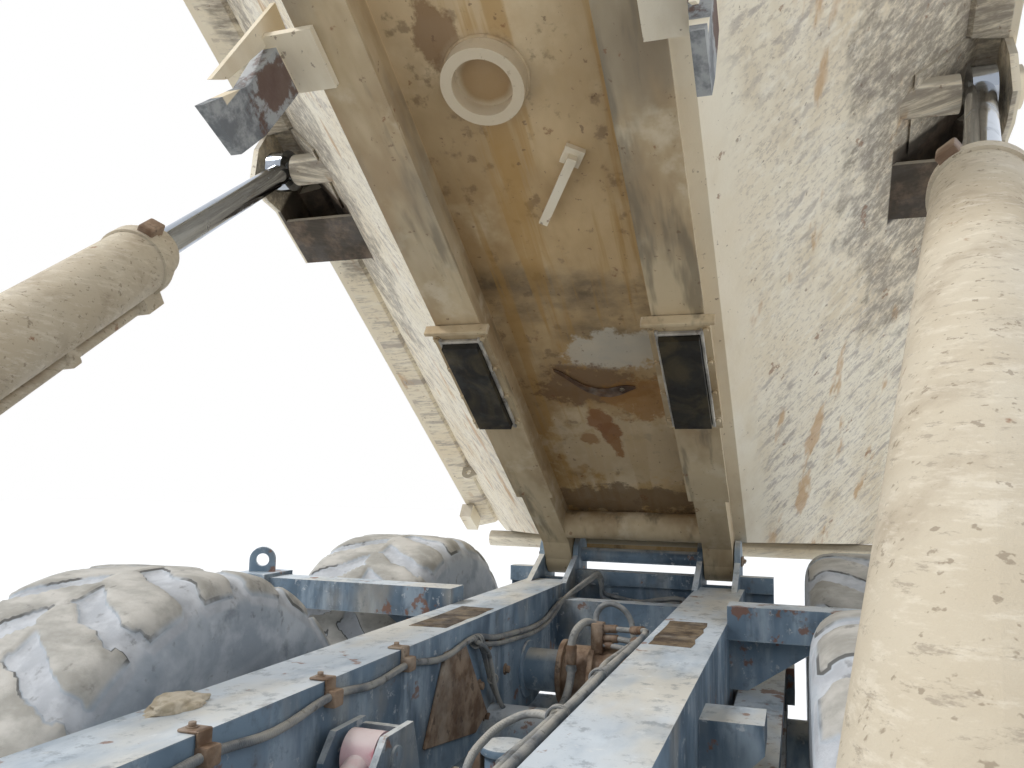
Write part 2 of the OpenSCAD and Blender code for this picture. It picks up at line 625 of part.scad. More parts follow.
bumper_low = 620;
bumper_high = 1310;
module bumper() color(dark) placed() difference() {
    union() {
        intersection() {
            block([nose_h - 200 + seat, -1200, bumper_low], [nose_h, 1200, bumper_high]);
            along_z(0, 3000) polygon([[nose_h - 400, -1400], [nose_h - 120, -1200], [nose_h, -900], [nose_h, 900],
                                      [nose_h - 120, 1200], [nose_h - 400, 1400]]);
        }
        // Lugs and pins that the hood tips on
        both_sides() {
            for (y0 = [hood_ear_y - 45, hood_ear_y + 25]) along_y(y0, y0 + 20) {
                polygon([[hood_axis_h - 45, bumper_high - 1], [hood_axis_h + 45, bumper_high - 1],
                         [hood_axis_h + 22, hood_axis_z], [hood_axis_h - 22, hood_axis_z]]);
                translate([hood_axis_h, hood_axis_z]) circle(22);
            }
            bar_y(hood_axis_h, hood_axis_z, 12, hood_ear_y - 45, hood_ear_y + 45);
        }
    }
    // Hollow back
    both_sides() block([nose_h - 200, 450, bumper_low + 60], [nose_h - 60, 1000, bumper_high - 60]);
    // Recesses for the headlamps
    both_sides() block([nose_h - 14, 590, 1010], [nose_h + 1, 870, 1170]);
    // Recess with the towing pin
    block([nose_h - 130, -110, bumper_low + 150], [nose_h + 1, 110, bumper_low + 330]);
    bar_z(nose_h - 55, 0, tow_bore, bumper_low - 1, bumper_high + 1);
}
tow_bore = 30;
hood_axis_h = nose_h - 59;
hood_axis_z = 1420;
hood_ear_y = 420;

module engine() color(dark) placed() {
    block([7200, -300, 1150], [8240, 300, 1960]);
    both_sides() for (h = [7300, 8000]) block([h, 299, 1240], [h + 90, front_rail - front_rail_w - seat, 1290]);
    block([8480, -520, front_high + seat], [8600, 520, 2020]);
}

// Cab: a hollow shell with its windows and its door cut out

cab_rear = 5370;
CAB = [[cab_rear, cab_low], [6790, cab_low], [6840, 2330], [6640, cab_high], [cab_rear + 40, cab_high]]; // h, z
module cab_prism(inset) {
    // The five corners moved in by the wall
    along_y(-cab_half + inset, cab_half - inset) polygon([
        CAB[0] + [inset, inset], CAB[1] + [-inset, inset], CAB[2] + [-inset, 0], CAB[3] + [-inset * 1.15, -inset],
        CAB[4] + [inset, -inset]
    ]);
}
SIDE_WINDOW = [[5450, 2420], [6720, 2420], [6580, 3270], [5470, 3270]]; // h, z
DOOR = [[5700, cab_low + 60], [6550, cab_low + 60], [6550, 3310], [5700, 3310]];
DOOR_WINDOW = [[5790, 2350], [6470, 2350], [6470, 3220], [5790, 3220]];
door_gap = 6;
door_axis_h = 6566;
door_axis_y = cab_half + 18;
DOOR_HINGES = [1900, 2550, 3150]; // heights
module front_window() along_x(6500, 7000) polygon([[-700, 2420], [700, 2420], [640, 3290], [-640, 3290]]);
module rear_window() along_x(5200, 5600) polygon([[-660, 2320], [660, 2320], [660, 3270], [-660, 3270]]);
module cab_shell() color(cream) placed() difference() {
    union() {
        cab_prism(0);
        block([cab_rear + 10, -cab_half - 20, cab_high - 30], [6740, cab_half + 20, cab_high]);
        // Hinge lugs and pins for the door
        for (z = DOOR_HINGES) {
            for (z0 = [z - 19, z + 95]) block([door_axis_h - 13, cab_half - 1, z0], [door_axis_h + 85, cab_half + 31, z0 + 14]);
            bar_z(door_axis_h, door_axis_y, 7, z - 19, z + 109);
        }
    }
    cab_prism(cab_wall);
    front_window();
    rear_window();
    along_y(-1000, -500) polygon(SIDE_WINDOW);
    along_y(500, 1000) polygon(DOOR);
    along_y(500, 1000) polygon([[5450, 2420], [5640, 2420], [5640, 3270], [5460, 3270]]);
}
module cab_glass() color(tint) placed() {
    // Windscreen and rear window, each a sheet laid in its opening
    intersection() {
        difference() { cab_prism(18); cab_prism(18 + glass); }
        along_x(6450, 7000) polygon([[-700 + seat, 2420 + seat], [700 - seat, 2420 + seat], [640 - seat, 3290 - seat], [-640 + seat, 3290 - seat]]);
    }
    block([cab_rear + 34, -660 + seat, 2320 + seat], [cab_rear + 34 + glass, 660 - seat, 3270 - seat]);
    intersection() {
        along_y(-cab_half + 20, -cab_half + 20 + glass) polygon(SIDE_WINDOW);
        along_y(-1000, 1000) polygon([SIDE_WINDOW[0] + [seat, seat], SIDE_WINDOW[1] + [-seat, seat],
                                      SIDE_WINDOW[2] + [-seat, -seat], SIDE_WINDOW[3] + [seat, -seat]]);
    }
    along_y(cab_half - 28, cab_half - 28 + glass) polygon([[5450 + 1, 2420 + seat], [5640 - seat, 2420 + seat],
                                                          [5640 - seat, 3270 - seat], [5460 + 1, 3270 - seat]]);
}

module cab_door() color(cream) placed() difference() {
    union() {
        along_y(cab_half - cab_wall, cab_half) polygon([
            DOOR[0] + [door_gap, door_gap], DOOR[1] + [-door_gap, door_gap], DOOR[2] + [-door_gap, -door_gap],
            DOOR[3] + [door_gap, -door_gap]
        ]);
        // Hinge knuckles and their leaves
        for (z = DOOR_HINGES) {
            bar_z(door_axis_h, door_axis_y, 13, z, z + 90);
            block([door_axis_h - 110, cab_half - 1, z + 15], [door_axis_h - 24, cab_half + 13, z + 75]);
            block([door_axis_h - 30, cab_half + 2, z + 15], [door_axis_h, cab_half + 13, z + 75]);
        }
        // Grab handle
        block([5740, cab_half - 1, 2120], [5900, cab_half + 30, 2160]);
    }
    along_y(500, 1000) polygon(DOOR_WINDOW);
    for (z = DOOR_HINGES) bar_z(door_axis_h, door_axis_y, 7 + pin_fit, z - 1, z + 91);
}
module door_glass() color(tint) placed() along_y(cab_half - 28, cab_half - 28 + glass) polygon([
    DOOR_WINDOW[0] + [seat, seat], DOOR_WINDOW[1] + [-seat, seat], DOOR_WINDOW[2] + [-seat, -seat],
    DOOR_WINDOW[3] + [seat, -seat]
]);

seat_to_rear = 380;
seat_h = cab_rear + seat_to_rear;
module driver_seat() color(dark) placed() {
    block([seat_h - 60, -200, cab_low + cab_wall + seat], [seat_h + 380, 200, cab_low + 330]);
    block([seat_h - 80, -260, cab_low + 330], [seat_h + 440, 260, cab_low + 470]);
    along_y(-250, 250) polygon([[seat_h - 80, cab_low + 470], [seat_h + 60, cab_low + 470],
                                [seat_h - 30, cab_low + 1150], [seat_h - 170, cab_low + 1150]]);
}

wheel_centre = [6370, 0, 2600];
module controls() color(dark) placed() {
    // Dash, column and steering wheel
    along_y(-640, 640) polygon([[6480, cab_low + cab_wall + seat], [6700, cab_low + cab_wall + seat], [6740, 2300],
                                [6560, 2400], [6450, 2300]]);
    translate(wheel_centre) rotate([0, -32, 0]) {
        rotate_extrude() translate([205, 0]) circle(16);
        translate([0, 0, -300]) cylinder(h = 305, r = 30);
        for (k = [0:2]) rotate([0, 0, 120 * k]) translate([0, -14, -8]) cube([205, 28, 12]);
    }
}

fender_inner = cab_half + 12;
fender_outer = half_track + tyre_width / 2 + 50;
fender_plate = 22;
FENDER = [[5290, 1180], [5440, 1540], [5720, cab_low - 30], [6860, cab_low - 30], [7130, 1560], [7260, 1200]]; // h, z
module fenders() color(cream) placed() both_sides() {
    count = len(FENDER);
    along_y(fender_inner, fender_outer) polygon(concat(
        FENDER, [for (i = [count - 1:-1:0]) FENDER[i] + [i < 2 ? -fender_plate : i > 3 ? fender_plate : 0, i == 0 || i == count - 1 ? 0 : fender_plate]]));
}

STEPS = [560, 860, 1160]; // heights of the treads
step_rear = 7300;
step_front = 7700;
module side_steps() color(dark) placed() both_sides() {
    // Side plates, treads and the arm to the rail
    for (h = [step_rear, step_front - 14]) along_x(h, h + 14) polygon([
        [960, 520], [1330, 520], [1330, 600], [1180, 1560], [960, 1560]
    ]);
    for (z = STEPS) block([step_rear, 965, z], [step_front, 1330 - (z - STEPS[0]) / 6, z + 30]);
    block([step_rear, 965, 1530], [step_front, 1180, 1560]);
    block([step_rear + 140, front_rail + seat, 1180], [step_rear + 260, 966, 1260]);
}

stack_y = -1010;
stack_h = 6935;
module exhaust() color(dark) placed() {
    bar_z(stack_h, stack_y, 105, 1775, 2500);
    bar_z(stack_h, stack_y, 55, 2499, 3200);
    // Foot over the fender's front slope
    block([stack_h - 100, stack_y - 80, cab_low - 30 + fender_plate + seat], [stack_h - 10, stack_y + 80, 1776]);
}

module mirrors() color(dark) placed() both_sides() {
    block([6690, cab_half + seat, 2900], [6730, 1160, 2930]);
    block([6680, 1100, 2520], [6730, 1330, 2960]);
}

module front_axle() color(frame_blue) placed() axle(front_axle_h);

HOOD = [[6880, 1460], [8985, 1460], [8985, 2060], [8900, 2170], [6880, 2440]]; // h, z
module hood_form(inset) intersection() {
    along_y(-hood_half + inset, hood_half - inset) polygon([
        HOOD[0] + [0, 0], HOOD[1] + [-inset, 0], HOOD[2] + [-inset, -inset / 2], HOOD[3] + [-inset / 2, -inset],
        HOOD[4] + [0, -inset]
    ]);
    along_x(6000, 9500) polygon([
        [-hood_half + inset, 1400], [-hood_half + inset, 2090], [-520, 2460], [520, 2460],
        [hood_half - inset, 2090], [hood_half - inset, 1400]
    ]);
}
GRILLE = [-480, 480, 1540, 2010]; // y from, y to, z from, z to
module hood() color(cream) placed() difference() {
    union() {
        hood_form(0);
        both_sides() {
            bar_y(hood_axis_h, hood_axis_z, 22, hood_ear_y - 20, hood_ear_y + 20);
            block([hood_axis_h - 20, hood_ear_y - 20, hood_axis_z], [hood_axis_h + 5, hood_ear_y + 20, 1480]);
        }
    }
    bar_y(hood_axis_h, hood_axis_z, 12 + pin_fit, -1000, 1000);
    translate([-1, 0, -1]) hood_form(hood_wall);
    block([8900, GRILLE[0], GRILLE[2]], [9100, GRILLE[1], GRILLE[3]]);
    // Side air openings
    both_sides() for (k = [0:5]) block([7350 + 150 * k, hood_half - 60, 1700], [7430 + 150 * k, hood_half + 10, 1950]);
}
slat_count = 9;
module grille() color(dark) placed() {
    difference() {
        block([8935, GRILLE[0] + 0.5, GRILLE[2] + 0.5], [8975, GRILLE[1] - 0.5, GRILLE[3] - 0.5]);
        block([8900, GRILLE[0] + 30, GRILLE[2] + 30], [9000, GRILLE[1] - 30, GRILLE[3] - 30]);
    }
    pitch = (GRILLE[3] - GRILLE[2] - 60) / slat_count;
    for (k = [0:slat_count - 1]) block([8940, GRILLE[0] + 29, GRILLE[2] + 30 + pitch * (k + 0.35)],
                                       [8965, GRILLE[1] - 29, GRILLE[2] + 30 + pitch * (k + 0.65)]);
}

// Dump body, drawn along its own floor

side_in = body_half - side_plate_t;
slope_run = corner_half - floor_half;
slope_rise = corner_rise - floor_rise;
slope_len = norm([slope_run, slope_rise]);
// Height of the sloping floor's underside at a distance from the middle
function slope_n(u) = floor_rise + (u - floor_half) * slope_rise / slope_run;
plate_shift = floor_plate * tan(atan2(slope_rise, slope_run) / 2);
plate_up = floor_plate * slope_len / slope_run;
arch_foot = body_half - 140; // where the sill strip leaves the sloping floor

module trough_skin() {
    under = [[floor_half, floor_rise], [arch_foot, slope_n(arch_foot)], [arch_foot + 14, sill_low + 34], [body_half, sill_low],
             [body_half, guard_top]];
    over = [[side_in, guard_top], [side_in, slope_n(side_in) + plate_up], [floor_half - plate_shift, floor_rise + floor_plate]];
    polygon(concat(under, over, [for (i = [len(over) - 1:-1:0]) [-over[i][0], over[i][1]]],
                   [for (i = [len(under) - 1:-1:0]) [-under[i][0], under[i][1]]]));
}
module trough_full() polygon([
    [floor_half, floor_rise], [side_in + 1, slope_n(side_in + 1)], [side_in + 1, guard_top],
    [-side_in - 1, guard_top], [-side_in - 1, slope_n(side_in + 1)], [-floor_half, floor_rise]
]);
// Side view of the body: tail, sides, spill guard and front wall
module body_side_view(low) polygon([
    [-tail_length, low], [-tail_length, tail_top], [1500, side_top], [3720, side_top + 60],
    [4080, guard_top], [front_top, guard_top], [front_foot, low]
]);
kick_rise = tail_length * tan(tail_kick);
rim_out = 28;
tail_lug = [body_half - 150, slope_n(body_half - 150) - 48]; // u, n
module body_shell() color(cream) tipped() {
    difference() {
        intersection() {
            along_x(-tail_length, front_top) trough_skin();
            along_y(-body_half, body_half) body_side_view(floor_rise);
        }
        // Under the kicked up tail
        along_y(-body_half - 1, body_half + 1) polygon([
            [1, floor_rise - 1], [-tail_length - 1, floor_rise - 1], [-tail_length - 1, floor_rise + kick_rise]
        ]);
        // The triangular tunnel in each side sill
        both_sides() along_x(-tail_length - 1, front_top + 1) polygon([
            [body_half - 85, slope_n(body_half - 85) - 20], [side_in + 2, slope_n(side_in) - 34], [side_in + 2, sill_low + 30]
        ]);
        // Where the arch of a hoist housing passes through the sill
        both_sides() along_x(closed_end + 5, housing_front - 5) polygon([
            [arch_foot, slope_n(arch_foot) - 0.3], [body_half - 94, slope_n(body_half - 94) - 0.3], [body_half - 11.7, 936],
            [body_half - 11.7, sill_low - 10], [arch_foot, sill_low - 10]
        ]);
    }
    // Tail floor
    intersection() {
        along_y(-side_in, side_in) polygon([
            [0, floor_rise], [-tail_length, floor_rise + kick_rise],
            [-tail_length, floor_rise + kick_rise + floor_plate], [0, floor_rise + floor_plate]
        ]);
        along_x(-tail_length, 1) trough_full();
    }
    // Front wall
    intersection() {
        along_y(-side_in - 1, side_in + 1) polygon([
            [front_foot - floor_plate, floor_rise], [front_foot, floor_rise], [front_top, guard_top],
            [front_top - floor_plate, guard_top]
        ]);
        along_x(3000, front_top) trough_full();
    }
    // Lug with a hole under each corner of the tail
    both_sides() along_x(-612, -592) difference() {
        union() {
            translate([tail_lug[0], tail_lug[1]]) circle(45);
            polygon([[tail_lug[0] - 32, tail_lug[1] - 32], [tail_lug[0] + 45, tail_lug[1]], [tail_lug[0] + 45, tail_lug[1] + 44],
                     [tail_lug[0] - 40, slope_n(tail_lug[0] - 40) + 6], [tail_lug[0] - 65, slope_n(tail_lug[0] - 65) + 5]]);
        }
        translate([tail_lug[0], tail_lug[1]]) circle(17);
    }
    // Rim along the top of each side
    both_sides() along_y(body_half - 1, body_half + rim_out) polygon([
        [-tail_length + 10, tail_top - 110], [-tail_length + 10, tail_top - 2], [1500, side_top - 2], [3700, side_top + 56],
        [3700, side_top - 54], [1500, side_top - 110]
    ]);
}

// Box sills under the floor, with hinge ears, pad plates, cross tubes and the tail's tube
sill_front = 3560;
tail_seat = 0.9; // gap under the kicked up floor
bolster_r = 50;
bolster = [-1050, floor_rise + 1050 * tan(tail_kick) - (bolster_r + tail_seat) / cos(tail_kick)]; // s, n
step_s = 580;
module body_rails() color(cream) tipped() {
    both_sides() difference() {
        union() {
            difference() {
                block([60, sill_inner, -sill_drop], [sill_front, sill_inner + sill_width, floor_rise - seat]);
                block([75, sill_inner + 14, -sill_drop + 14], [sill_front - 14, sill_inner + sill_width - 14, floor_rise - 14]);
            }
            bar_y(0, 0, ear_radius, sill_inner, sill_inner + sill_width);
            along_y(sill_inner, sill_inner + sill_width) polygon([
                [0, -ear_radius], [160, -sill_drop], [160, floor_rise - seat], [0, floor_rise - tail_seat],
                [-150, floor_rise + 150 * tan(tail_kick) - tail_seat], [-165, 130], [-60, 60]
            ]);
            // Wider flange along most of the sill
            block([step_s, sill_inner - 18, -sill_drop - 10], [sill_front, sill_inner + sill_width + 18, -sill_drop + 4]);
            // Plate that a pad is bolted to
            block([pad_rear - 45, sill_inner - 34, -sill_drop - 34], [pad_rear + pad_length + 45, sill_inner + sill_width + 34, -sill_drop - 9]);
        }
        bar_y(0, 0, hinge_pin + pin_fit, 0, 1000);
    }
    bar_y(230, 34, 65, -sill_inner - 1, sill_inner + 1);
    bar_y(-130, 125, 34, -sill_inner - 1, sill_inner + 1);
    // Tube under the tail
    difference() {
        bar_y(bolster[0], bolster[1], bolster_r, -1210, 1210);
        bar_y(bolster[0], bolster[1], bolster_r - 12, -1198, 1198);
    }
}

pad_low = -rail_drop + pad_gap;
pad_high = -sill_drop - 34.5;
module body_pads() color(rubber) tipped() both_sides() {
    block([pad_rear, sill_inner, pad_low], [pad_rear + pad_length, sill_inner + sill_width, pad_high]);
}

// Housings that carry the upper hoist pins between the sloping floor and the side

cheek_in = hoist_u + hoist_eye_w / 2 + 30;
cheek_out = cheek_in + 24;
boss_end = hoist_u - hoist_eye_w / 2 - 28;
roof_in = hoist_u - 207;
housing_rear = 1405;
housing_front = 1975;
closed_end = 1650;
module hoist_housings() color(cream) tipped() both_sides() {
    difference() {
        union() {
            // Outer cheek, rounded below the pin
            along_y(cheek_in, cheek_out) polygon([
                [housing_rear, 690], [closed_end + 60, 690], [hoist_s - 60, hoist_n - 110], [hoist_s + 60, hoist_n - 110],
                [housing_front, hoist_n + 10], [housing_front, sill_low - 0.5], [housing_rear, sill_low - 0.5]
            ]);
            bar_y(hoist_s, hoist_n, 70, cheek_out - 1, cheek_out + 22);
            // Closed rear part of the box
            block([housing_rear, hoist_u - 277, 690], [closed_end, cheek_in + 1, 706]);
            block([housing_rear, hoist_u - 277, 690], [housing_rear + 16, cheek_in + 1, sill_low - 0.5]);
            // Boss that stands out of the sloping floor
            bar_y(hoist_s, hoist_n, 64, hoist_u - 247, boss_end);
            // Bent roof plate under the floor, then an arch down to the cheek
            along_x(closed_end + 10, housing_front - 10) polygon([
                [roof_in, slope_n(roof_in) - 1], [body_half - 94, slope_n(body_half - 94) - 1], [body_half - 20, 935],
                [body_half - 12, 900], [body_half - 12, sill_low - 1], [body_half - 36, sill_low - 1], [body_half - 34, 925],
                [body_half - 96, slope_n(body_half - 96) - 18], [roof_in, slope_n(roof_in) - 16]
            ]);
        }
        // Everything above the floor's underside belongs to the floor
        along_x(0, closed_end + 10) polygon([
            [900, slope_n(900) - 0.3], [arch_foot, slope_n(arch_foot) - 0.3], [arch_foot + 14, sill_low + 33],
            [arch_foot + 14, 1500], [900, 1500]
        ]);
        along_x(closed_end + 9, 3000) polygon([
            [900, slope_n(900) - 0.3], [arch_foot + 10, slope_n(arch_foot + 10) - 0.3], [arch_foot + 10, 1500], [900, 1500]
        ]);
    }
}

// Guides, brackets and the exhaust collar under the body
collar_s = 2530;
collar_u = -55;
collar_r = 117;
module body_fittings() color(cream) tipped() {
    difference() {
        bar_collar(collar_r, floor_rise - 60, floor_rise - seat);
        bar_collar(collar_r - 32, floor_rise - 61, floor_rise - 12);
    }
    both_sides() {
        // Guide: a foot plate under the sill, a worn wedge that hangs beside the rail and a strip in front of it
        block([2648, rail_outer - 90, -62], [2815, rail_outer + 66, -sill_drop - 10 - seat]);
        intersection() {
            along_y(rail_outer, rail_outer + 90) polygon([
                [2651, -41], [2785, -41], [2778, -230], [2833, -390], [2678, -369], [2655, -263]
            ]);
            along_x(2600, 2900) polygon([
                [rail_outer + 24, -41], [rail_outer + 24, -90], [rail_outer + 56, -395], [rail_outer + 84, -395], [rail_outer + 84, -41]
            ]);
        }
        along_y(rail_outer + 52, rail_outer + 66) polygon([[2770, 60], [2841, 69], [2858, -325], [2822, -267]]);
        // Lamp box hung under the sill at the tail
        block([-1180, body_half - 54, sill_low - 95], [-1000, body_half + 26, sill_low - seat]);
    }
    // Small hanging strip
    translate([2250, 130, floor_rise - seat]) rotate([0, 0, 32]) {
        block([-30, -30, -18], [30, 30, 0]);
        block([-260, -14, -40], [10, 14, -26]);
        block([-12, -14, -30], [10, 14, -10]);
    }
}
module bar_collar(r, n0, n1) translate([collar_s, collar_u, n0]) cylinder(h = n1 - n0, r = r);

// Hoist cylinders

// A point on a left hoist cylinder's axis, a distance down from the upper pin: h, y, z
function hoist_top() = [hoist_s * cos(tip_angle) - hoist_n * sin(tip_angle), hoist_u,
                        hinge_height + hoist_s * sin(tip_angle) + hoist_n * cos(tip_angle)];
function hoist_point(d) = hoist_top() + d * [cos(hoist_lean) * cos(hoist_slope), -sin(hoist_lean), -cos(hoist_lean) * sin(hoist_slope)];
// The cylinder's own axis: z along it from its foot, x up and forward of it
module on_axis(side) placed() on_side(side) {
    up = hoist_top() - hoist_foot;
    z = up / norm(up);
    x = cross([0, 1, 0], z) / norm(cross([0, 1, 0], z));
    y = cross(z, x);
    multmatrix([[x[0], y[0], z[0], hoist_foot[0]], [x[1], y[1], z[1], hoist_foot[1]], [x[2], y[2], z[2], hoist_foot[2]],
                [0, 0, 0, 1]]) children();
}
module eye_disc(side, at, half, r) placed() on_side(side) bar_y(at[0], at[2], r, at[1] - half, at[1] + half);
barrel_end = hoist_length - rod_shown;
barrel_foot = 118;
gland_length = 60;
rod_hidden = 1540;
module hoist_barrel(side) color(cream) difference() {
    union() {
        on_axis(side) {
            translate([0, 0, barrel_foot]) cylinder(h = barrel_end - gland_length - barrel_foot, r = barrel_radius);
            translate([0, 0, barrel_end - gland_length - 1]) cylinder(h = gland_length + 1, r = barrel_radius - 16);
            translate([-60, -hoist_eye_w / 2 + 6, 0]) cube([120, hoist_eye_w - 12, barrel_foot + 1]);
            // Port blocks and the pipe between them
            for (z = [barrel_end - 190, 420]) translate([-barrel_radius - 38, -40, z]) cube([58, 80, 90]);
            translate([-barrel_radius - 22, 0, 430]) cylinder(h = barrel_end - 600, r = 15);
            // Collar behind the gland
            translate([0, 0, barrel_end - gland_length - 70]) cylinder(h = 45, r = barrel_radius + 8);
        }
        eye_disc(side, hoist_foot, hoist_eye_w / 2, hoist_eye);
    }
    on_axis(side) translate([0, 0, 170]) cylinder(h = barrel_end, r = rod_radius + 0.3);
    on_axis(side) sphere(foot_ball + 0.3);
}
module hoist_rod(side) color(chrome) {
    on_axis(side) translate([0, 0, barrel_end - rod_hidden]) cylinder(h = hoist_length - barrel_end + rod_hidden - 60, r = rod_radius);
    eye_disc(side, hoist_top(), hoist_eye_w / 2, hoist_eye);
    eye_disc(side, hoist_top(), hoist_eye_w / 2 + 6, hoist_pin);
}

// Steering cylinders

steer_eye = 45;
steer_eye_half = 25;
steer_barrel_r = 46;
steer_barrel_len = 650;
steer_rod_r = 26;
STEER_EYE = [arm_h, arm_reach, 1130];
steer_length = norm(STEER_EYE - STEER_ROOT);
module on_steer(side) placed() on_side(side) translate(STEER_ROOT)
    rotate([0, 0, atan2(STEER_EYE[1] - STEER_ROOT[1], STEER_EYE[0] - STEER_ROOT[0])]) children();
module steer_barrel(side) color(dark) on_steer(side) difference() {
    union() {
        bar_z(0, 0, steer_eye + 7, -steer_eye_half, steer_eye_half);
        bar_x(0, 0, steer_barrel_r, 66, steer_barrel_len);
        block([0, -30, -20], [70, 30, 20]);
    }
    bar_z(0, 0, steer_root_pin + pin_fit, -100, 100);
    bar_x(0, 0, steer_rod_r + 0.3, 90, steer_barrel_len + 1);
}
module steer_rod(side) color(chrome) on_steer(side) {
    bar_x(0, 0, steer_rod_r, 350, steer_length - 20);
    bar_z(steer_length, 0, steer_eye, -steer_eye_half, steer_eye_half);
}

rear_frame();
anchor_beams();
walking_beams();
bogie_axles();
drive_line();
frame_hoses();
tail_lamps();
hitch();
front_frame();
bumper();
engine();
cab_shell();
cab_glass();
driver_seat();
controls();
fenders();
side_steps();
exhaust();
mirrors();
front_axle();
hood();
grille();
cab_door();
door_glass();
body_shell();
body_rails();
body_pads();
hoist_housings();
body_fittings();
for (d = SIDES) {
    hoist_barrel(d[1]);
    hoist_rod(d[1]);
    steer_barrel(d[1]);
    steer_rod(d[1]);
}
for (w = WHEELS) {
    tyre(w);
    rim(w);
}
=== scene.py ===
import json
import math

import bpy
from mathutils import Matrix, Vector, noise


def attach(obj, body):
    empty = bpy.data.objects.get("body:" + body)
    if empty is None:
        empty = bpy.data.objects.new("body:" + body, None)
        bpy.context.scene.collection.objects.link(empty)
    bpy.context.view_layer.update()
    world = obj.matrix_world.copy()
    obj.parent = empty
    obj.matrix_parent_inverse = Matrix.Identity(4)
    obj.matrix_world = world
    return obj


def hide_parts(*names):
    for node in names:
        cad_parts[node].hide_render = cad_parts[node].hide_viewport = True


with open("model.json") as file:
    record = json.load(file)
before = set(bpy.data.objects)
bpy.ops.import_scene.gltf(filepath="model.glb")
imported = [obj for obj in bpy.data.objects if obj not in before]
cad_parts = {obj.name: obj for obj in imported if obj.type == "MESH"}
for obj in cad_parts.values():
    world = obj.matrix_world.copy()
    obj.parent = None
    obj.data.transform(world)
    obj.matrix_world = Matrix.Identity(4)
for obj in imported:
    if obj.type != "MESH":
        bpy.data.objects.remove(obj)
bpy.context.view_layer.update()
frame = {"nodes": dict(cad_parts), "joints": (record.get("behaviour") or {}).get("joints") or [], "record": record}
nodes = frame["nodes"]
scene = bpy.context.scene
SIDES = {"left": 1, "right": -1}


# Places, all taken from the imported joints


def joint(name):
    return next(j for j in frame["joints"] if j["name"] == name)


def joint_place(name):
    return Vector(joint(name)["pos_m"])


HINGE = joint_place("body_tip")
TIP = math.radians(-joint("body_tip")["range_deg"][0])
# The truck's own measures: forward from the body hinge, left, up from the ground
ON_TRUCK = Matrix.Translation((HINGE.x, 0, 0))
# The dump body's: forward along its floor, left, up off its floor
ON_BODY = Matrix.Translation(HINGE) @ Matrix.Rotation(-TIP, 4, "Y")
FLIP_SIDE = Matrix.Scale(-1, 4, (0, 1, 0))
WHEELS = [f"{place}_{side}" for place in ("front", "mid", "rear") for side in SIDES]


def on_hoist(side):
    """Up along a hoist cylinder from its foot, x turned to its upper and front side."""
    foot = joint_place(f"hoist_swing_{side}")
    z = (joint_place(f"hoist_stroke_{side}") - foot).normalized()
    x = Vector((0, 1, 0)).cross(z).normalized()
    y = z.cross(x)
    turn = Matrix((x, y, z)).transposed().to_4x4()
    return Matrix.Translation(foot) @ turn


def on_wheel(wheel):
    """Middle of a wheel, its outer face towards +y."""
    turn = 0 if wheel.endswith("left") else math.pi
    return Matrix.Translation(joint_place(f"wheel_{wheel}_spin")) @ Matrix.Rotation(turn, 4, "Z")


def facing(place, direction):
    """A small part set on a surface, its z axis along the direction."""
    return Matrix.Translation(place) @ Vector(direction).to_track_quat("Z", "Y").to_matrix().to_4x4()


# Modelling


def deselect():
    bpy.ops.object.select_all(action="DESELECT")


def pick(piece):
    deselect()
    piece.select_set(True)
    bpy.context.view_layer.objects.active = piece


def block(name, low, high):
    """A box between two corners, as a start."""
    deselect()
    low, high = Vector(low), Vector(high)
    bpy.ops.mesh.primitive_cube_add(size=1, location=(low + high) / 2)
    piece = bpy.context.object
    piece.name = name
    piece.scale = high - low
    bpy.ops.object.transform_apply(location=True, rotation=True, scale=True)
    return piece


def bar(name, foot, head, radius, sides=24, tip=None):
    """A round bar from foot to head, tapered where tip is given."""
    deselect()
    foot, head = Vector(foot), Vector(head)
    run = head - foot
    turn = run.to_track_quat("Z", "Y").to_euler()
    bpy.ops.mesh.primitive_cone_add(vertices=sides, radius1=radius, radius2=radius if tip is None else tip,
                                    depth=run.length, location=(foot + head) / 2, rotation=turn)
    piece = bpy.context.object
    piece.name = name
    bpy.ops.object.transform_apply(location=True, rotation=True, scale=True)
    return piece


def ring(name, middle, axis, radius, thickness, steps=48, sides=10):
    """A round ring about an axis."""
    deselect()
    turn = Vector(axis).to_track_quat("Z", "Y").to_euler()
    bpy.ops.mesh.primitive_torus_add(location=middle, rotation=turn, major_radius=radius,
                                     minor_radius=thickness, major_segments=steps, minor_segments=sides)
    piece = bpy.context.object
    piece.name = name
    bpy.ops.object.transform_apply(location=True, rotation=True, scale=True)
    return piece


def edit_all(piece):
    """Opens a piece for editing with all of it selected."""
    pick(piece)
    bpy.ops.object.mode_set(mode="EDIT")
    bpy.ops.mesh.select_all(action="SELECT")


def drawn(name, points, edges, faces):
    """A new piece from a line or a face of points, open for editing."""
    mesh = bpy.data.meshes.new(name)
    mesh.from_pydata([Vector(p) for p in points], edges, faces)
    piece = bpy.data.objects.new(name, mesh)
    scene.collection.objects.link(piece)
    edit_all(piece)
    return piece


def faced_outward(piece):
    """Turns all faces outward and closes the editing."""
    bpy.ops.mesh.select_all(action="SELECT")
    bpy.ops.mesh.normals_make_consistent(inside=False)
    bpy.ops.object.mode_set(mode="OBJECT")
    return piece


def sheet_metal(name, outline, push):
    """A plate cut to an outline of points, given its thickness by the vector push."""
    piece = drawn(name, outline, [], [list(range(len(outline)))])
    bpy.ops.mesh.extrude_region_move(TRANSFORM_OT_translate={"value": push})
    return faced_outward(piece)


def spun(name, profile, axis, steps=64):
    """A closed shape turned about an axis through the origin from an open or closed line of points."""
    piece = drawn(name, profile, [(i, i + 1) for i in range(len(profile) - 1)], [])
    bpy.ops.mesh.spin(steps=steps, angle=2 * math.pi, center=(0, 0, 0), axis=axis)
    bpy.ops.mesh.select_all(action="SELECT")
    bpy.ops.mesh.remove_doubles(threshold=0.00005)
    return faced_outward(piece)


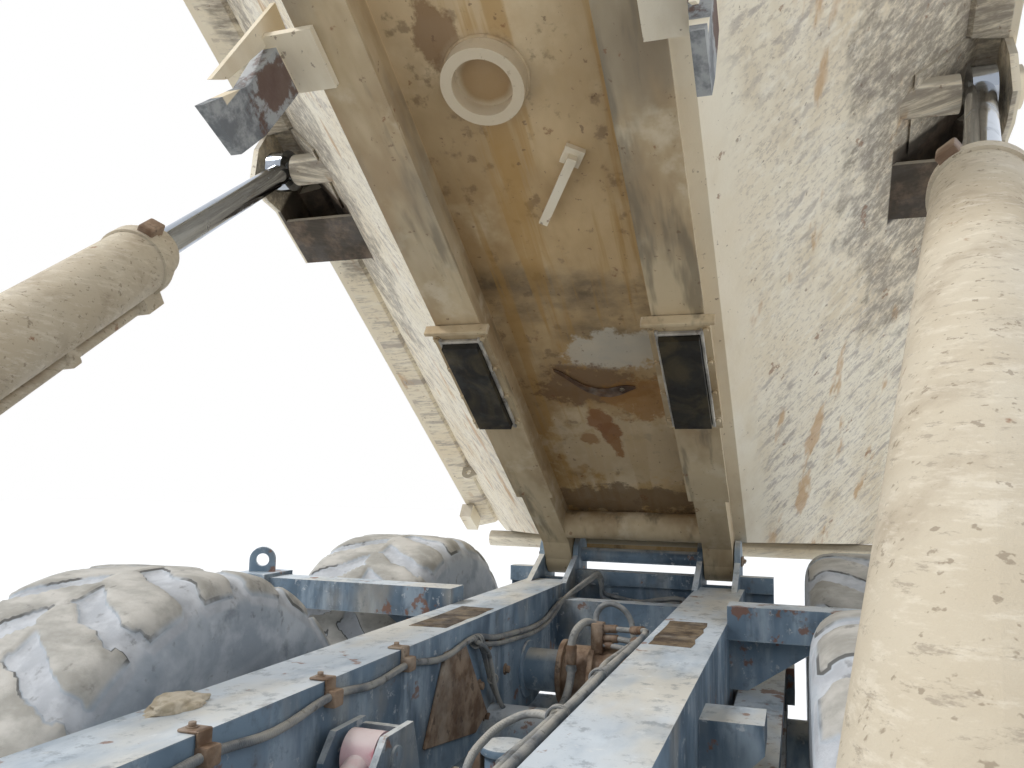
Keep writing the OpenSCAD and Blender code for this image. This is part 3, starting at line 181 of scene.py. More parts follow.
def inset(piece, normal, thickness, depth):
    """The faces that look along normal get a border and are pushed in."""
    pick(piece)
    aim = Vector(normal)
    for face in piece.data.polygons:
        face.select = face.normal.dot(aim) > 0.95
    bpy.ops.object.mode_set(mode="EDIT")
    bpy.ops.mesh.select_mode(type="FACE")
    bpy.ops.mesh.inset(thickness=thickness)
    bpy.ops.transform.translate(value=aim * -depth)
    bpy.ops.object.mode_set(mode="OBJECT")
    return piece


def bevel(piece, width, segments=2, angle=35):
    pick(piece)
    edge = piece.modifiers.new("edge", "BEVEL")
    edge.width = width
    edge.segments = segments
    edge.limit_method = "ANGLE"
    edge.angle_limit = math.radians(angle)
    bpy.ops.object.modifier_apply(modifier=edge.name)
    return piece


def edged(name, low, high, width, segments=2):
    """A box with rounded edges."""
    return bevel(block(name, low, high), width, segments)


def subdivide(piece, cuts):
    edit_all(piece)
    bpy.ops.mesh.subdivide(number_cuts=cuts)
    bpy.ops.object.mode_set(mode="OBJECT")
    return piece


def joined(name, parts):
    pick(parts[0])
    for part in parts:
        part.select_set(True)
    if len(parts) > 1:
        bpy.ops.object.join()
    piece = bpy.context.object
    piece.name = name
    return piece


def moved_mesh(mesh, place):
    mesh.transform(place)
    if place.determinant() < 0:
        mesh.flip_normals()
    return mesh


def copies(name, part, places):
    """One piece made of a copy of the part at each place, each copy with its own mesh."""
    made = []
    for place in places:
        twin = bpy.data.objects.new(name, moved_mesh(part.data.copy(), place))
        scene.collection.objects.link(twin)
        made.append(twin)
    bpy.data.objects.remove(part)
    return joined(name, made)


def both_sides(piece):
    """Adds the mirror image across the middle of the truck."""
    return copies(piece.name, piece, [Matrix.Identity(4), FLIP_SIDE])


def settle(piece, place, body, material, smooth=35, replaces=()):
    """Puts a finished piece in its place, gives it its finish and hangs it on a body."""
    moved_mesh(piece.data, place)
    pick(piece)
    bpy.ops.object.shade_smooth_by_angle(angle=math.radians(smooth))
    piece.data.materials.clear()
    piece.data.materials.append(material)
    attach(piece, body)
    if replaces:
        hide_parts(*replaces)
    return piece


def hose(name, route, radius, sides=12):
    """A round hose through the points of its route."""
    curve = bpy.data.curves.new(name, "CURVE")
    curve.dimensions = "3D"
    curve.bevel_depth = radius
    curve.bevel_resolution = sides // 4
    curve.use_fill_caps = True
    curve.resolution_u = 5
    line = curve.splines.new("BEZIER")
    line.bezier_points.add(len(route) - 1)
    for knot, point in zip(line.bezier_points, route):
        knot.co = Vector(point)
        knot.handle_left_type = "AUTO"
        knot.handle_right_type = "AUTO"
    piece = bpy.data.objects.new(name, curve)
    scene.collection.objects.link(piece)
    pick(piece)
    bpy.ops.object.convert(target="MESH")
    return bpy.context.object


def bolt(radius, height):
    """A hexagon bolt on its washer, standing on z = 0."""
    washer = bar("washer", (0, 0, 0), (0, 0, height * 0.22), radius * 1.45, sides=16)
    head = bar("head", (0, 0, height * 0.2), (0, 0, height), radius, sides=6)
    bevel(head, radius * 0.12, 1)
    return joined("bolt", [washer, head])


def bolts(name, radius, height, places):
    return copies(name, bolt(radius, height), [facing(place, direction) for place, direction in places])


def around(count, radius, start=0.0):
    """Points evenly round a circle, as two distances from its middle; start in degrees."""
    for k in range(count):
        angle = math.radians(start + 360 * k / count)
        yield radius * math.cos(angle), radius * math.sin(angle)


# Finishes


def new_material(name):
    material = bpy.data.materials.new(name)
    material.use_nodes = True
    return material


def shader(material):
    return material.node_tree.nodes["Principled BSDF"]


def coords(material, place=None, stretch=(1, 1, 1)):
    """Object coordinates, read along the dump body or the truck where a place is given."""
    tree = material.node_tree
    source = tree.nodes.new("ShaderNodeTexCoord")
    mapping = tree.nodes.new("ShaderNodeMapping")
    mapping.vector_type = "TEXTURE"
    mapping.inputs["Scale"].default_value = stretch
    if place is not None:
        mapping.inputs["Location"].default_value = place.to_translation()
        mapping.inputs["Rotation"].default_value = place.to_euler()
    tree.links.new(source.outputs["Object"], mapping.inputs["Vector"])
    return mapping.outputs["Vector"]


def between(material, value, low, high):
    """0 where the value is under low, 1 where it is over high."""
    node = material.node_tree.nodes.new("ShaderNodeMapRange")
    node.interpolation_type = "SMOOTHSTEP"
    node.inputs["From Min"].default_value = low
    node.inputs["From Max"].default_value = high
    material.node_tree.links.new(value, node.inputs["Value"])
    return node.outputs["Result"]


def grain(material, vector, scale, detail=4, rough=0.6, bend=0.0):
    node = material.node_tree.nodes.new("ShaderNodeTexNoise")
    node.inputs["Scale"].default_value = scale
    node.inputs["Detail"].default_value = detail
    node.inputs["Roughness"].default_value = rough
    node.inputs["Distortion"].default_value = bend
    material.node_tree.links.new(vector, node.inputs["Vector"])
    return node.outputs[0]


def patches(material, vector, scale, low, high, detail=4, rough=0.6, bend=0.0):
    return between(material, grain(material, vector, scale, detail, rough, bend), low, high)


def waves(material, vector, scale, axis="X", bend=0.0):
    node = material.node_tree.nodes.new("ShaderNodeTexWave")
    node.bands_direction = axis
    node.inputs["Scale"].default_value = scale
    node.inputs["Distortion"].default_value = bend
    material.node_tree.links.new(vector, node.inputs["Vector"])
    return node.outputs["Fac"]


def times(material, a, b, how="MULTIPLY"):
    node = material.node_tree.nodes.new("ShaderNodeMath")
    node.operation = how
    node.use_clamp = True
    for place, value in enumerate((a, b)):
        if isinstance(value, (int, float)):
            node.inputs[place].default_value = value
        else:
            material.node_tree.links.new(value, node.inputs[place])
    return node.outputs[0]


def over(material, under, top, mask):
    """The colour top laid over the colour under where the mask is 1."""
    node = material.node_tree.nodes.new("ShaderNodeMix")
    node.data_type = "RGBA"
    for place, value in ((0, mask), (6, under), (7, top)):
        if isinstance(value, (int, float)):
            node.inputs[place].default_value = value
        elif isinstance(value, tuple):
            node.inputs[place].default_value = (*value, 1)
        else:
            material.node_tree.links.new(value, node.inputs[place])
    return node.outputs[2]


def stain(material, under, top, cover, *masks):
    """The colour top laid over the colour under, as thick as the cover, where all the masks are 1."""
    mask = cover
    for other in masks:
        mask = times(material, mask, other)
    return over(material, under, top, mask)


def part_of(material, vector, axis):
    node = material.node_tree.nodes.new("ShaderNodeSeparateXYZ")
    material.node_tree.links.new(vector, node.inputs[0])
    return node.outputs["XYZ".index(axis)]


def facing_up(material, low=0.35, high=0.85):
    """1 on surfaces that face up, where dust can lie; on the frame these tops also get a painted sky highlight."""
    source = material.node_tree.nodes.new("ShaderNodeNewGeometry")
    return between(material, part_of(material, source.outputs["Normal"], "Z"), low, high)


def worn_edges(material, radius=0.006):
    """1 along outer edges, broken up by grain."""
    tree = material.node_tree
    soft = tree.nodes.new("ShaderNodeBevel")
    soft.samples = 2
    soft.inputs["Radius"].default_value = radius
    source = tree.nodes.new("ShaderNodeNewGeometry")
    dot = tree.nodes.new("ShaderNodeVectorMath")
    dot.operation = "DOT_PRODUCT"
    tree.links.new(soft.outputs[0], dot.inputs[0])
    tree.links.new(source.outputs["Normal"], dot.inputs[1])
    edge = between(material, dot.outputs["Value"], 0.97, 0.80)
    return times(material, edge, patches(material, coords(material), 14, 0.42, 0.58))


def bumps(material, height, distance, strength=0.5):
    node = material.node_tree.nodes.new("ShaderNodeBump")
    node.inputs["Strength"].default_value = strength
    node.inputs["Distance"].default_value = distance
    material.node_tree.links.new(height, node.inputs["Height"])
    material.node_tree.links.new(node.outputs[0], shader(material).inputs["Normal"])


def colour(material, socket):
    material.node_tree.links.new(socket, shader(material).inputs["Base Color"])


def roughness(material, mask, low, high):
    node = material.node_tree.nodes.new("ShaderNodeMapRange")
    node.inputs["To Min"].default_value = low
    node.inputs["To Max"].default_value = high
    material.node_tree.links.new(mask, node.inputs["Value"])
    material.node_tree.links.new(node.outputs["Result"], shader(material).inputs["Roughness"])


CREAM = (0.78, 0.68, 0.51)
PALE_CREAM = (0.82, 0.75, 0.60)
DARK_BROWN = (0.10, 0.06, 0.035)
RUST = (0.22, 0.085, 0.03)
DRY_MUD = (0.50, 0.42, 0.30)
BLUE_GREY = (0.20, 0.28, 0.36)
# Painted shade: the frame's sides are mixed toward this darker blue-grey.
SHADED_BLUE_GREY = (0.065, 0.105, 0.15)


def frame_finish(name="frame_blue", rust_low=0.64):
    """Blue-grey paint: paler on top with dust and a painted sky highlight, darker on its streaked sides with
    painted shade, with rust and worn edges.
    """
    m = new_material(name)
    place = coords(m)
    # Painted shade: the darker end of this base tone stands in for shade on the frame's sides.
    tone = over(m, SHADED_BLUE_GREY, BLUE_GREY, patches(m, place, 2.2, 0.35, 0.65, bend=0.5))
    streaks = patches(m, coords(m, stretch=(1, 1, 4)), 9, 0.48, 0.68, detail=5)
    tone = stain(m, tone, (0.40, 0.48, 0.55), 0.65, streaks)
    tone = stain(m, tone, DRY_MUD, 0.45, patches(m, coords(m, stretch=(1, 1, 2)), 3.1, 0.52, 0.72))
    # Painted light: up-facing tops turn a paler blue-grey for the sky light on them, with dust laid over it.
    up = facing_up(m, 0.5, 0.9)
    top = over(m, (0.60, 0.65, 0.69), (0.34, 0.41, 0.48),
               patches(m, coords(m, stretch=(2.2, 1, 1)), 6, 0.44, 0.68, detail=5))
    top = stain(m, top, (0.66, 0.61, 0.51), 0.8, patches(m, coords(m, stretch=(2, 1, 1)), 3.0, 0.42, 0.66))
    tone = stain(m, tone, top, 0.95, up)
    tone = stain(m, tone, (0.10, 0.13, 0.155), 0.45,
                 patches(m, place, 17, 0.52, 0.66, detail=5, rough=0.75))
    tone = stain(m, tone, (0.74, 0.75, 0.74), 0.4, patches(m, place, 23, 0.60, 0.68, detail=5, rough=0.7))
    tone = stain(m, tone, RUST, 0.75, patches(m, place, 11, rust_low, rust_low + 0.05, detail=6))
    tone = stain(m, tone, DARK_BROWN, 0.5, patches(m, place, 5.1, 0.63, 0.72, detail=5))
    tone = stain(m, tone, (0.45, 0.47, 0.48), 0.7, worn_edges(m))
    colour(m, tone)
    roughness(m, patches(m, place, 4, 0.35, 0.65), 0.42, 0.75)
    bumps(m, grain(m, place, 60, 4, 0.7), 0.002, 0.35)
    return m


def absolute(m, value):
    node = m.node_tree.nodes.new("ShaderNodeMath")
    node.operation = "ABSOLUTE"
    m.node_tree.links.new(value, node.inputs[0])
    return node.outputs[0]


def folded(m, vector):
    """The same coordinates with left and right laid on each other."""
    together = m.node_tree.nodes.new("ShaderNodeCombineXYZ")
    m.node_tree.links.new(part_of(m, vector, "X"), together.inputs["X"])
    m.node_tree.links.new(absolute(m, part_of(m, vector, "Y")), together.inputs["Y"])
    m.node_tree.links.new(part_of(m, vector, "Z"), together.inputs["Z"])
    return together.outputs[0]


def mapped(m, vector, middle=(0, 0, 0), turn=0.0, stretch=(1, 1, 1)):
    """Coordinates counted from a point, turned by degrees about z and stretched."""
    mapping = m.node_tree.nodes.new("ShaderNodeMapping")
    mapping.vector_type = "TEXTURE"
    mapping.inputs["Location"].default_value = middle
    mapping.inputs["Rotation"].default_value = (0, 0, math.radians(turn))
    mapping.inputs["Scale"].default_value = stretch
    m.node_tree.links.new(vector, mapping.inputs["Vector"])
    return mapping.outputs[0]


def near(m, vector, middle, reach, uneven, ragged=0.5):
    """1 around a point, out to a ragged edge at the reach; uneven is the noise that frays the edge."""
    size = m.node_tree.nodes.new("ShaderNodeVectorMath")
    size.operation = "LENGTH"
    m.node_tree.links.new(mapped(m, vector, middle, 0, reach), size.inputs[0])
    frayed = m.node_tree.nodes.new("ShaderNodeMath")
    frayed.operation = "MULTIPLY_ADD"
    frayed.inputs[1].default_value = ragged * 4
    m.node_tree.links.new(uneven, frayed.inputs[0])
    m.node_tree.links.new(size.outputs["Value"], frayed.inputs[2])
    return between(m, frayed.outputs[0], 1.0 + ragged * 2, 0.72 + ragged * 2)


def within(m, value, low, high, soft=0.01):
    """1 where the value lies between low and high."""
    return times(m, between(m, value, low - soft, low), between(m, value, high + soft, high))


def slope_dirt(m, base, along, rise):
    """Scrapes, fine scratches and rust smudges on the sloping floors."""
    both = folded(m, along)
    slopes = times(m, between(m, rise, 0.14, 0.24), between(m, part_of(m, both, "Y"), 1.41, 1.405))
    zone = patches(m, both, 1.2, 0.38, 0.58, detail=3)
    long_lines = mapped(m, both, turn=78, stretch=(4.2, 0.22, 0.30))
    scrapes = patches(m, long_lines, 4.2, 0.50, 0.63, detail=5, rough=0.7)
    base = stain(m, base, (0.38, 0.33, 0.29), 0.75, scrapes, slopes, zone)
    fine_lines = mapped(m, both, turn=75, stretch=(3.0, 0.10, 0.12))
    scratches = patches(m, fine_lines, 6.5, 0.50, 0.64, detail=5, rough=0.75)
    base = stain(m, base, (0.43, 0.36, 0.29), 0.6, scratches, slopes)
    light = patches(m, fine_lines, 3.1, 0.52, 0.68, detail=4)
    base = stain(m, base, (0.88, 0.82, 0.68), 0.5, light, slopes)
    smudges = patches(m, mapped(m, both, turn=10, stretch=(1.7, 0.6, 0.6)), 3.6, 0.60, 0.68, detail=4)
    base = stain(m, base, (0.52, 0.32, 0.15), 0.75, smudges, slopes)
    uneven = grain(m, both, 5, 4)
    grimy = times(m, near(m, both, (1.75, 1.16, 0.80), (1.05, 0.30, 0.7), uneven, 0.5), facing_down(m))
    grime = patches(m, mapped(m, both, turn=72, stretch=(2.2, 0.16, 0.2)), 6.5, 0.30, 0.60, detail=5,
                    rough=0.75)
    return stain(m, base, (0.23, 0.195, 0.155), 0.8, grimy, grime, slopes)


# Place along and across the body, reach, colour and cover of each spot on the floor
FLOOR_SPOTS = [
    ((1.38, 0.11), (0.12, 0.22), (0.66, 0.62, 0.52), 0.65),
    ((0.74, 0.05), (0.28, 0.36), (0.62, 0.50, 0.33), 0.5),
    ((1.18, -0.02), (0.13, 0.26), (0.17, 0.085, 0.03), 0.85),
    ((1.10, 0.20), (0.16, 0.20), (0.33, 0.15, 0.03), 0.8),
    ((0.96, -0.03), (0.09, 0.06), (0.26, 0.10, 0.025), 0.9),
    ((0.88, 0.00), (0.08, 0.05), (0.24, 0.09, 0.02), 0.9),
    ((0.79, 0.01), (0.08, 0.035), (0.28, 0.12, 0.03), 0.9),
    ((0.84, -0.10), (0.05, 0.05), (0.30, 0.14, 0.04), 0.8),
    ((0.36, -0.02), (0.12, 0.50), (0.17, 0.10, 0.045), 0.8),
    ((2.66, -0.16), (0.12, 0.07), (0.22, 0.12, 0.05), 0.8),
    ((2.56, -0.05), (0.10, 0.10), (0.26, 0.14, 0.05), 0.8),
]


def floor_dirt(m, base, along, rise):
    """The yellow-brown underside of the floor between the sills, sooty across its middle."""
    middle = absolute(m, part_of(m, along, "Y"))
    way = part_of(m, along, "X")
    flat = times(m, within(m, middle, -1, 0.325, 0.01), within(m, rise, 0.05, 0.112, 0.004))
    brown = over(m, (0.62, 0.44, 0.23), (0.38, 0.24, 0.10),
                 patches(m, mapped(m, along, stretch=(1.8, 1, 1)), 2.4, 0.36, 0.66, 5))
    brown = stain(m, brown, (0.74, 0.60, 0.39), 0.75, patches(m, along, 3.3, 0.50, 0.72, detail=5))
    brown = stain(m, brown, (0.74, 0.60, 0.39), 0.5, between(m, way, 1.9, 3.0))
    brown = stain(m, brown, (0.17, 0.10, 0.045), 0.6, patches(m, along, 14, 0.57, 0.68, detail=5))
    sooty = times(m, within(m, way, 1.42, 1.75, 0.14),
                  patches(m, mapped(m, along, stretch=(1, 1.8, 1)), 3.4, 0.36, 0.58, 7))
    brown = stain(m, brown, (0.085, 0.06, 0.035), 0.78, sooty)
    runs = patches(m, mapped(m, along, stretch=(7, 0.4, 1)), 4.5, 0.55, 0.64, detail=5)
    brown = stain(m, brown, (0.42, 0.23, 0.05), 0.6, runs)
    uneven = grain(m, along, 11, 5, 0.7)
    for spot, reach, tone, cover in FLOOR_SPOTS:
        brown = stain(m, brown, tone, cover, near(m, along, (*spot, 0.1), (*reach, 0.1), uneven))
    return stain(m, base, brown, 0.96, flat)


def sill_dirt(m, base, along, rise):
    """Brown grime on the sills and the cross tube under the body."""
    middle = absolute(m, part_of(m, along, "Y"))
    way = part_of(m, along, "X")
    low = within(m, rise, -0.11, 0.09, 0.01)
    tail = times(m, between(m, way, 0.62, 0.58), within(m, middle, -1, 0.58, 0.02))
    sill = times(m, times(m, within(m, middle, 0.27, 0.58, 0.02), tail, "MAXIMUM"), low)
    lengthwise = mapped(m, along, stretch=(2.5, 1, 1))
    tone = over(m, (0.56, 0.44, 0.27), (0.36, 0.25, 0.13), patches(m, lengthwise, 4, 0.38, 0.64))
    tone = stain(m, tone, (0.70, 0.61, 0.45), 0.6, patches(m, along, 6, 0.52, 0.72, detail=5))
    tone = stain(m, tone, (0.11, 0.085, 0.05), 0.65,
                 patches(m, mapped(m, along, stretch=(4, 0.7, 1)), 7, 0.55, 0.68))
    dark = times(m, between(m, way, 1.7, 2.4), patches(m, lengthwise, 3.2, 0.40, 0.58))
    tone = stain(m, tone, (0.14, 0.12, 0.09), 0.55, dark)
    return stain(m, base, tone, 0.93, sill)


def facing_down(m):
    """1 on the undersides of the tipped body."""
    source = m.node_tree.nodes.new("ShaderNodeNewGeometry")
    return between(m, part_of(m, source.outputs["Normal"], "Z"), 0.15, 0.0)


def steel_and_shade(m, base, along, rise):
    """Bare steel of the two guide wedges, and painted shade with a rusty brown tone inside the hoist housings."""
    both = folded(m, along)
    aside = part_of(m, both, "Y")
    way = part_of(m, along, "X")
    uneven = grain(m, along, 13, 5, 0.7)
    steel = over(m, (0.17, 0.18, 0.19), (0.36, 0.37, 0.37), between(m, uneven, 0.40, 0.60))
    steel = stain(m, steel, (0.13, 0.075, 0.055), 0.9,
                  near(m, both, (2.715, 0.555, -0.13), (0.085, 0.08, 0.13), uneven, 0.6))
    wedge = times(m, within(m, aside, 0.518, 0.60, 0.004), between(m, rise, -0.063, -0.067))
    toe = times(m, within(m, way, 2.62, 2.84, 0.004), between(m, rise, -0.325, -0.33))
    front = times(m, within(m, way, 2.62, 2.787, 0.004), toe, "MAXIMUM")
    base = over(m, base, steel, times(m, wedge, front))
    # Painted shade: the inside of each hoist housing is darkened, with a rusty brown tone.
    housing = times(m, within(m, way, 1.39, 1.70, 0.02), within(m, aside, 1.07, 1.405, 0.006))
    housing = times(m, times(m, housing, between(m, rise, 0.66, 0.69)), facing_down(m))
    shade = over(m, (0.045, 0.034, 0.024), (0.13, 0.09, 0.06),
                 patches(m, along, 9, 0.42, 0.66, detail=5, rough=0.7))
    base = stain(m, base, shade, 0.96, housing)
    rim = near(m, along, (2.53, -0.055, 0.06), (0.16, 0.16, 0.12), uneven, 0.1)
    base = stain(m, base, (0.56, 0.45, 0.30), 0.7, rim)
    collar = near(m, along, (2.53, -0.055, 0.08), (0.088, 0.088, 0.05), uneven, 0.05)
    return stain(m, base, (0.36, 0.22, 0.09), 0.85, collar)


def body_finish(name="body_cream", grimy=True):
    """Cream paint of the dump body with all its dirt, rust and bare steel, and painted shade inside the hoist
    housings.
    """
    m = new_material(name)
    along = coords(m, ON_BODY)
    rise = part_of(m, along, "Z")
    base = over(m, CREAM, PALE_CREAM, patches(m, along, 1.3, 0.35, 0.65, 4))
    base = stain(m, base, (0.60, 0.48, 0.31), 0.5,
                 patches(m, mapped(m, along, stretch=(2, 1, 1)), 3, 0.48, 0.68, 5))
    if grimy:
        base = slope_dirt(m, base, along, rise)
        base = floor_dirt(m, base, along, rise)
        base = sill_dirt(m, base, along, rise)
    spots = patches(m, along, 9, 0.655, 0.69, detail=6, rough=0.65)
    base = stain(m, base, RUST, 0.6, spots)
    freckles = patches(m, along, 38, 0.66, 0.72, detail=3)
    base = stain(m, base, (0.16, 0.09, 0.05), 0.6, freckles)
    inside = times(m, within(m, rise, 0.118, 1.30), facing_up(m, 0.05, 0.4))
    base = stain(m, base, (0.30, 0.26, 0.20), 0.75, inside)
    base = steel_and_shade(m, base, along, rise)
    colour(m, base)
    roughness(m, patches(m, along, 6, 0.4, 0.6), 0.55, 0.9)
    bumps(m, grain(m, along, 45, 4, 0.75), 0.003, 0.4)
    return m


def hoist_finish():
    """Cream paint of a hoist barrel, caked with dry mud in patches."""
    m = new_material("hoist_cream")
    place = coords(m)
    tone = over(m, (0.49, 0.41, 0.295), (0.56, 0.49, 0.375), patches(m, place, 2.1, 0.35, 0.62))
    round_about = coords(m, stretch=(1.6, 1.6, 0.35))
    tone = stain(m, tone, (0.34, 0.27, 0.19), 0.6, patches(m, place, 7, 0.50, 0.70, detail=6))
    tone = stain(m, tone, (0.72, 0.65, 0.53), 0.45,
                 patches(m, round_about, 24, 0.50, 0.66, detail=5, rough=0.75))
    tone = stain(m, tone, (0.28, 0.23, 0.175), 0.6,
                 patches(m, round_about, 34, 0.57, 0.67, detail=5, rough=0.75))
    tone = stain(m, tone, (0.20, 0.15, 0.10), 0.6, patches(m, place, 60, 0.62, 0.68, detail=3))
    tone = stain(m, tone, RUST, 0.8, patches(m, place, 10, 0.65, 0.70, detail=5))
    colour(m, tone)
    roughness(m, patches(m, place, 6, 0.4, 0.6), 0.6, 0.92)
    bumps(m, grain(m, place, 30, 6, 0.75), 0.006, 0.45)
    return m


def cab_finish():
    """Cream paint of the cab and the hood, a little dusty."""
    m = new_material("cab_cream")
    place = coords(m)
    tone = over(m, (0.60, 0.50, 0.34), (0.67, 0.58, 0.42), patches(m, place, 1.1, 0.35, 0.65))
    tone = stain(m, tone, (0.46, 0.39, 0.29), 0.5, patches(m, coords(m, stretch=(1, 1, 3)), 4, 0.5, 0.75))
    low_dirt = times(m, between(m, part_of(m, place, "Z"), 2.1, 1.2), patches(m, place, 3, 0.3, 0.7))
    tone = stain(m, tone, DRY_MUD, 0.6, low_dirt)
    tone = stain(m, tone, (0.52, 0.47, 0.38), 0.3, facing_up(m))
    tone = stain(m, tone, (0.20, 0.10, 0.05), 0.5, worn_edges(m, 0.005))
    colour(m, tone)
    roughness(m, patches(m, place, 5, 0.4, 0.6), 0.32, 0.62)
    bumps(m, grain(m, place, 90, 3, 0.5), 0.0006, 0.25)
    return m


def dark_finish():
    """Dull black paint with dust."""
    m = new_material("dull_black")
    place = coords(m)
    tone = over(m, (0.025, 0.025, 0.026), (0.05, 0.048, 0.045), patches(m, place, 4, 0.4, 0.6))
    tone = stain(m, tone, (0.28, 0.25, 0.20), 0.55, facing_up(m), patches(m, place, 3, 0.35, 0.65))
    tone = stain(m, tone, (0.20, 0.17, 0.13), 0.35, patches(m, place, 8, 0.52, 0.74))
    tone = stain(m, tone, (0.16, 0.15, 0.14), 0.7, worn_edges(m))
    colour(m, tone)
    roughness(m, patches(m, place, 6, 0.4, 0.6), 0.45, 0.85)
    bumps(m, grain(m, place, 70, 6, 0.6), 0.0015, 0.3)
    return m


def rusty_steel(name="rusty_steel", dark=(0.16, 0.095, 0.055), light=(0.33, 0.235, 0.16)):
    """Bare steel with brown rust and dust."""
    m = new_material(name)
    place = coords(m)
    tone = over(m, dark, light, patches(m, place, 12, 0.4, 0.62, detail=6))
    tone = stain(m, tone, (0.45, 0.40, 0.33), 0.5, patches(m, place, 5, 0.48, 0.7))
    tone = stain(m, tone, (0.07, 0.045, 0.03), 0.7, patches(m, place, 25, 0.58, 0.68))
    colour(m, tone)
    roughness(m, patches(m, place, 9, 0.4, 0.6), 0.55, 0.9)
    bumps(m, grain(m, place, 55, 5, 0.8), 0.003, 0.5)
    return m


def mud_finish():
    """Dry pale mud."""
    m = new_material("dry_mud")
    place = coords(m)
    colour(m, over(m, (0.50, 0.42, 0.30), (0.68, 0.60, 0.47), patches(m, place, 30, 0.4, 0.6, detail=6)))
    roughness(m, patches(m, place, 20, 0.4, 0.6), 0.85, 0.98)
    bumps(m, grain(m, place, 90, 9, 0.8), 0.006, 0.8)
    return m


def link_finish():
    """The faded red link and the dark drive shafts."""
    m = new_material("faded_red")
    place = coords(m, ON_TRUCK)
    tone = over(m, (0.66, 0.46, 0.47), (0.62, 0.22, 0.26), patches(m, place, 16, 0.46, 0.64, detail=5))
    tone = stain(m, tone, (0.70, 0.64, 0.60), 0.6, facing_up(m))
    shaft = over(m, (0.06, 0.058, 0.055), (0.25, 0.22, 0.18), patches(m, place, 6, 0.45, 0.7))
    colour(m, over(m, shaft, tone, between(m, part_of(m, place, "Y"), -0.14, -0.15)))
    roughness(m, patches(m, place, 8, 0.4, 0.6), 0.5, 0.85)
    bumps(m, grain(m, place, 60, 8, 0.7), 0.002, 0.4)
    return m


def tyre_finish():
    """Worn rubber: tan lug tops, pale dust in the grooves, blue-grey sides."""
    m = new_material("dusty_tyre")
    place = coords(m)
    source = m.node_tree.nodes.new("ShaderNodeAttribute")
    source.attribute_name = "tread_height"
    height = source.outputs["Fac"]
    tone = over(m, (0.33, 0.365, 0.405), (0.50, 0.53, 0.56),
                patches(m, place, 4, 0.38, 0.64, detail=5, bend=0.6))
    tone = stain(m, tone, (0.62, 0.64, 0.66), 0.6, patches(m, place, 9, 0.50, 0.70, detail=5))
    tone = stain(m, tone, (0.13, 0.145, 0.16), 0.6, patches(m, place, 6, 0.58, 0.72, detail=5))
    groove = over(m, (0.42, 0.43, 0.45), (0.56, 0.57, 0.59), patches(m, place, 12, 0.38, 0.62, detail=6))
    tone = stain(m, tone, groove, 0.85, within(m, height, 0.42, 0.62, 0.10))
    top = over(m, (0.33, 0.315, 0.28), (0.52, 0.495, 0.45),
               patches(m, mapped(m, place, stretch=(1, 2, 1)), 11, 0.36, 0.64, 5))
    tone = over(m, tone, top, between(m, height, 0.72, 0.95))
    line = times(m, within(m, height, 0.76, 0.86, 0.05), patches(m, place, 4, 0.50, 0.60))
    tone = stain(m, tone, (0.075, 0.07, 0.062), 0.85, line)
    tone = stain(m, tone, (0.12, 0.115, 0.105), 0.5, patches(m, place, 21, 0.60, 0.72, detail=6))
    colour(m, tone)
    roughness(m, patches(m, place, 8, 0.4, 0.6), 0.75, 0.95)
    bumps(m, grain(m, place, 38, 5, 0.75), 0.004, 0.5)
    return m


def chrome_finish():
    """Polished rod with a little grease and dust."""
    m = new_material("rod_chrome")
    place = coords(m)
    tone = stain(m, (0.36, 0.38, 0.41), (0.24, 0.23, 0.21), 0.6, patches(m, place, 7, 0.55, 0.75))
    colour(m, tone)
    shader(m).inputs["Metallic"].default_value = 1.0
    roughness(m, patches(m, place, 9, 0.45, 0.7), 0.09, 0.32)
    bumps(m, grain(m, place, 120, 4, 0.5), 0.0003, 0.2)
    return m


def glass_finish():
    """Clear window glass with dust in patches."""
    m = new_material("window_glass")
    place = coords(m)
    shader(m).inputs["Transmission Weight"].default_value = 0.92
    shader(m).inputs["IOR"].default_value = 1.46
    colour(m, stain(m, (0.86, 0.91, 0.90), (0.70, 0.69, 0.62), 0.4, patches(m, place, 3, 0.5, 0.8)))
    roughness(m, patches(m, place, 5, 0.5, 0.8), 0.02, 0.22)
    return m


def pad_finish():
    """Black rubber of the body's pads, polished in places."""
    m = new_material("pad_rubber")
    place = coords(m, ON_BODY)
    tone = over(m, (0.012, 0.010, 0.007), (0.055, 0.042, 0.02),
                patches(m, place, 6, 0.42, 0.62, detail=5, bend=1.0))
    tone = stain(m, tone, (0.15, 0.12, 0.075), 0.5, patches(m, place, 5, 0.56, 0.72))
    colour(m, tone)
    roughness(m, patches(m, place, 7, 0.4, 0.6), 0.35, 0.8)
    bumps(m, grain(m, place, 50, 7, 0.7), 0.002, 0.4)
    return m


def hose_finish():
    """Ribbed protective sheath of the hoses, grey with dust."""
    m = new_material("hose_sheath")
    place = coords(m)
    tone = over(m, (0.14, 0.155, 0.17), (0.36, 0.35, 0.32), patches(m, place, 8, 0.34, 0.62, detail=5))
    tone = stain(m, tone, (0.48, 0.44, 0.37), 0.6, facing_up(m, 0.3, 0.9), patches(m, place, 5, 0.36, 0.6))
    tone = stain(m, tone, (0.06, 0.055, 0.05), 0.6, patches(m, place, 23, 0.58, 0.68))
    colour(m, tone)
    roughness(m, patches(m, place, 9, 0.4, 0.6), 0.6, 0.9)
    bumps(m, waves(m, place, 55, bend=1.5), 0.002, 0.5)
    return m


def lens_finish(name, tint):
    """Ribbed lamp lens."""
    m = new_material(name)
    place = coords(m)
    deep = tuple(c * 0.55 for c in tint)
    colour(m, over(m, tint, deep, patches(m, place, 12, 0.4, 0.7)))
    bumps(m, waves(m, place, 40), 0.002, 0.4)
    roughness(m, patches(m, place, 5, 0.4, 0.6), 0.12, 0.3)
    shader(m).inputs["Coat Weight"].default_value = 0.5
    return m


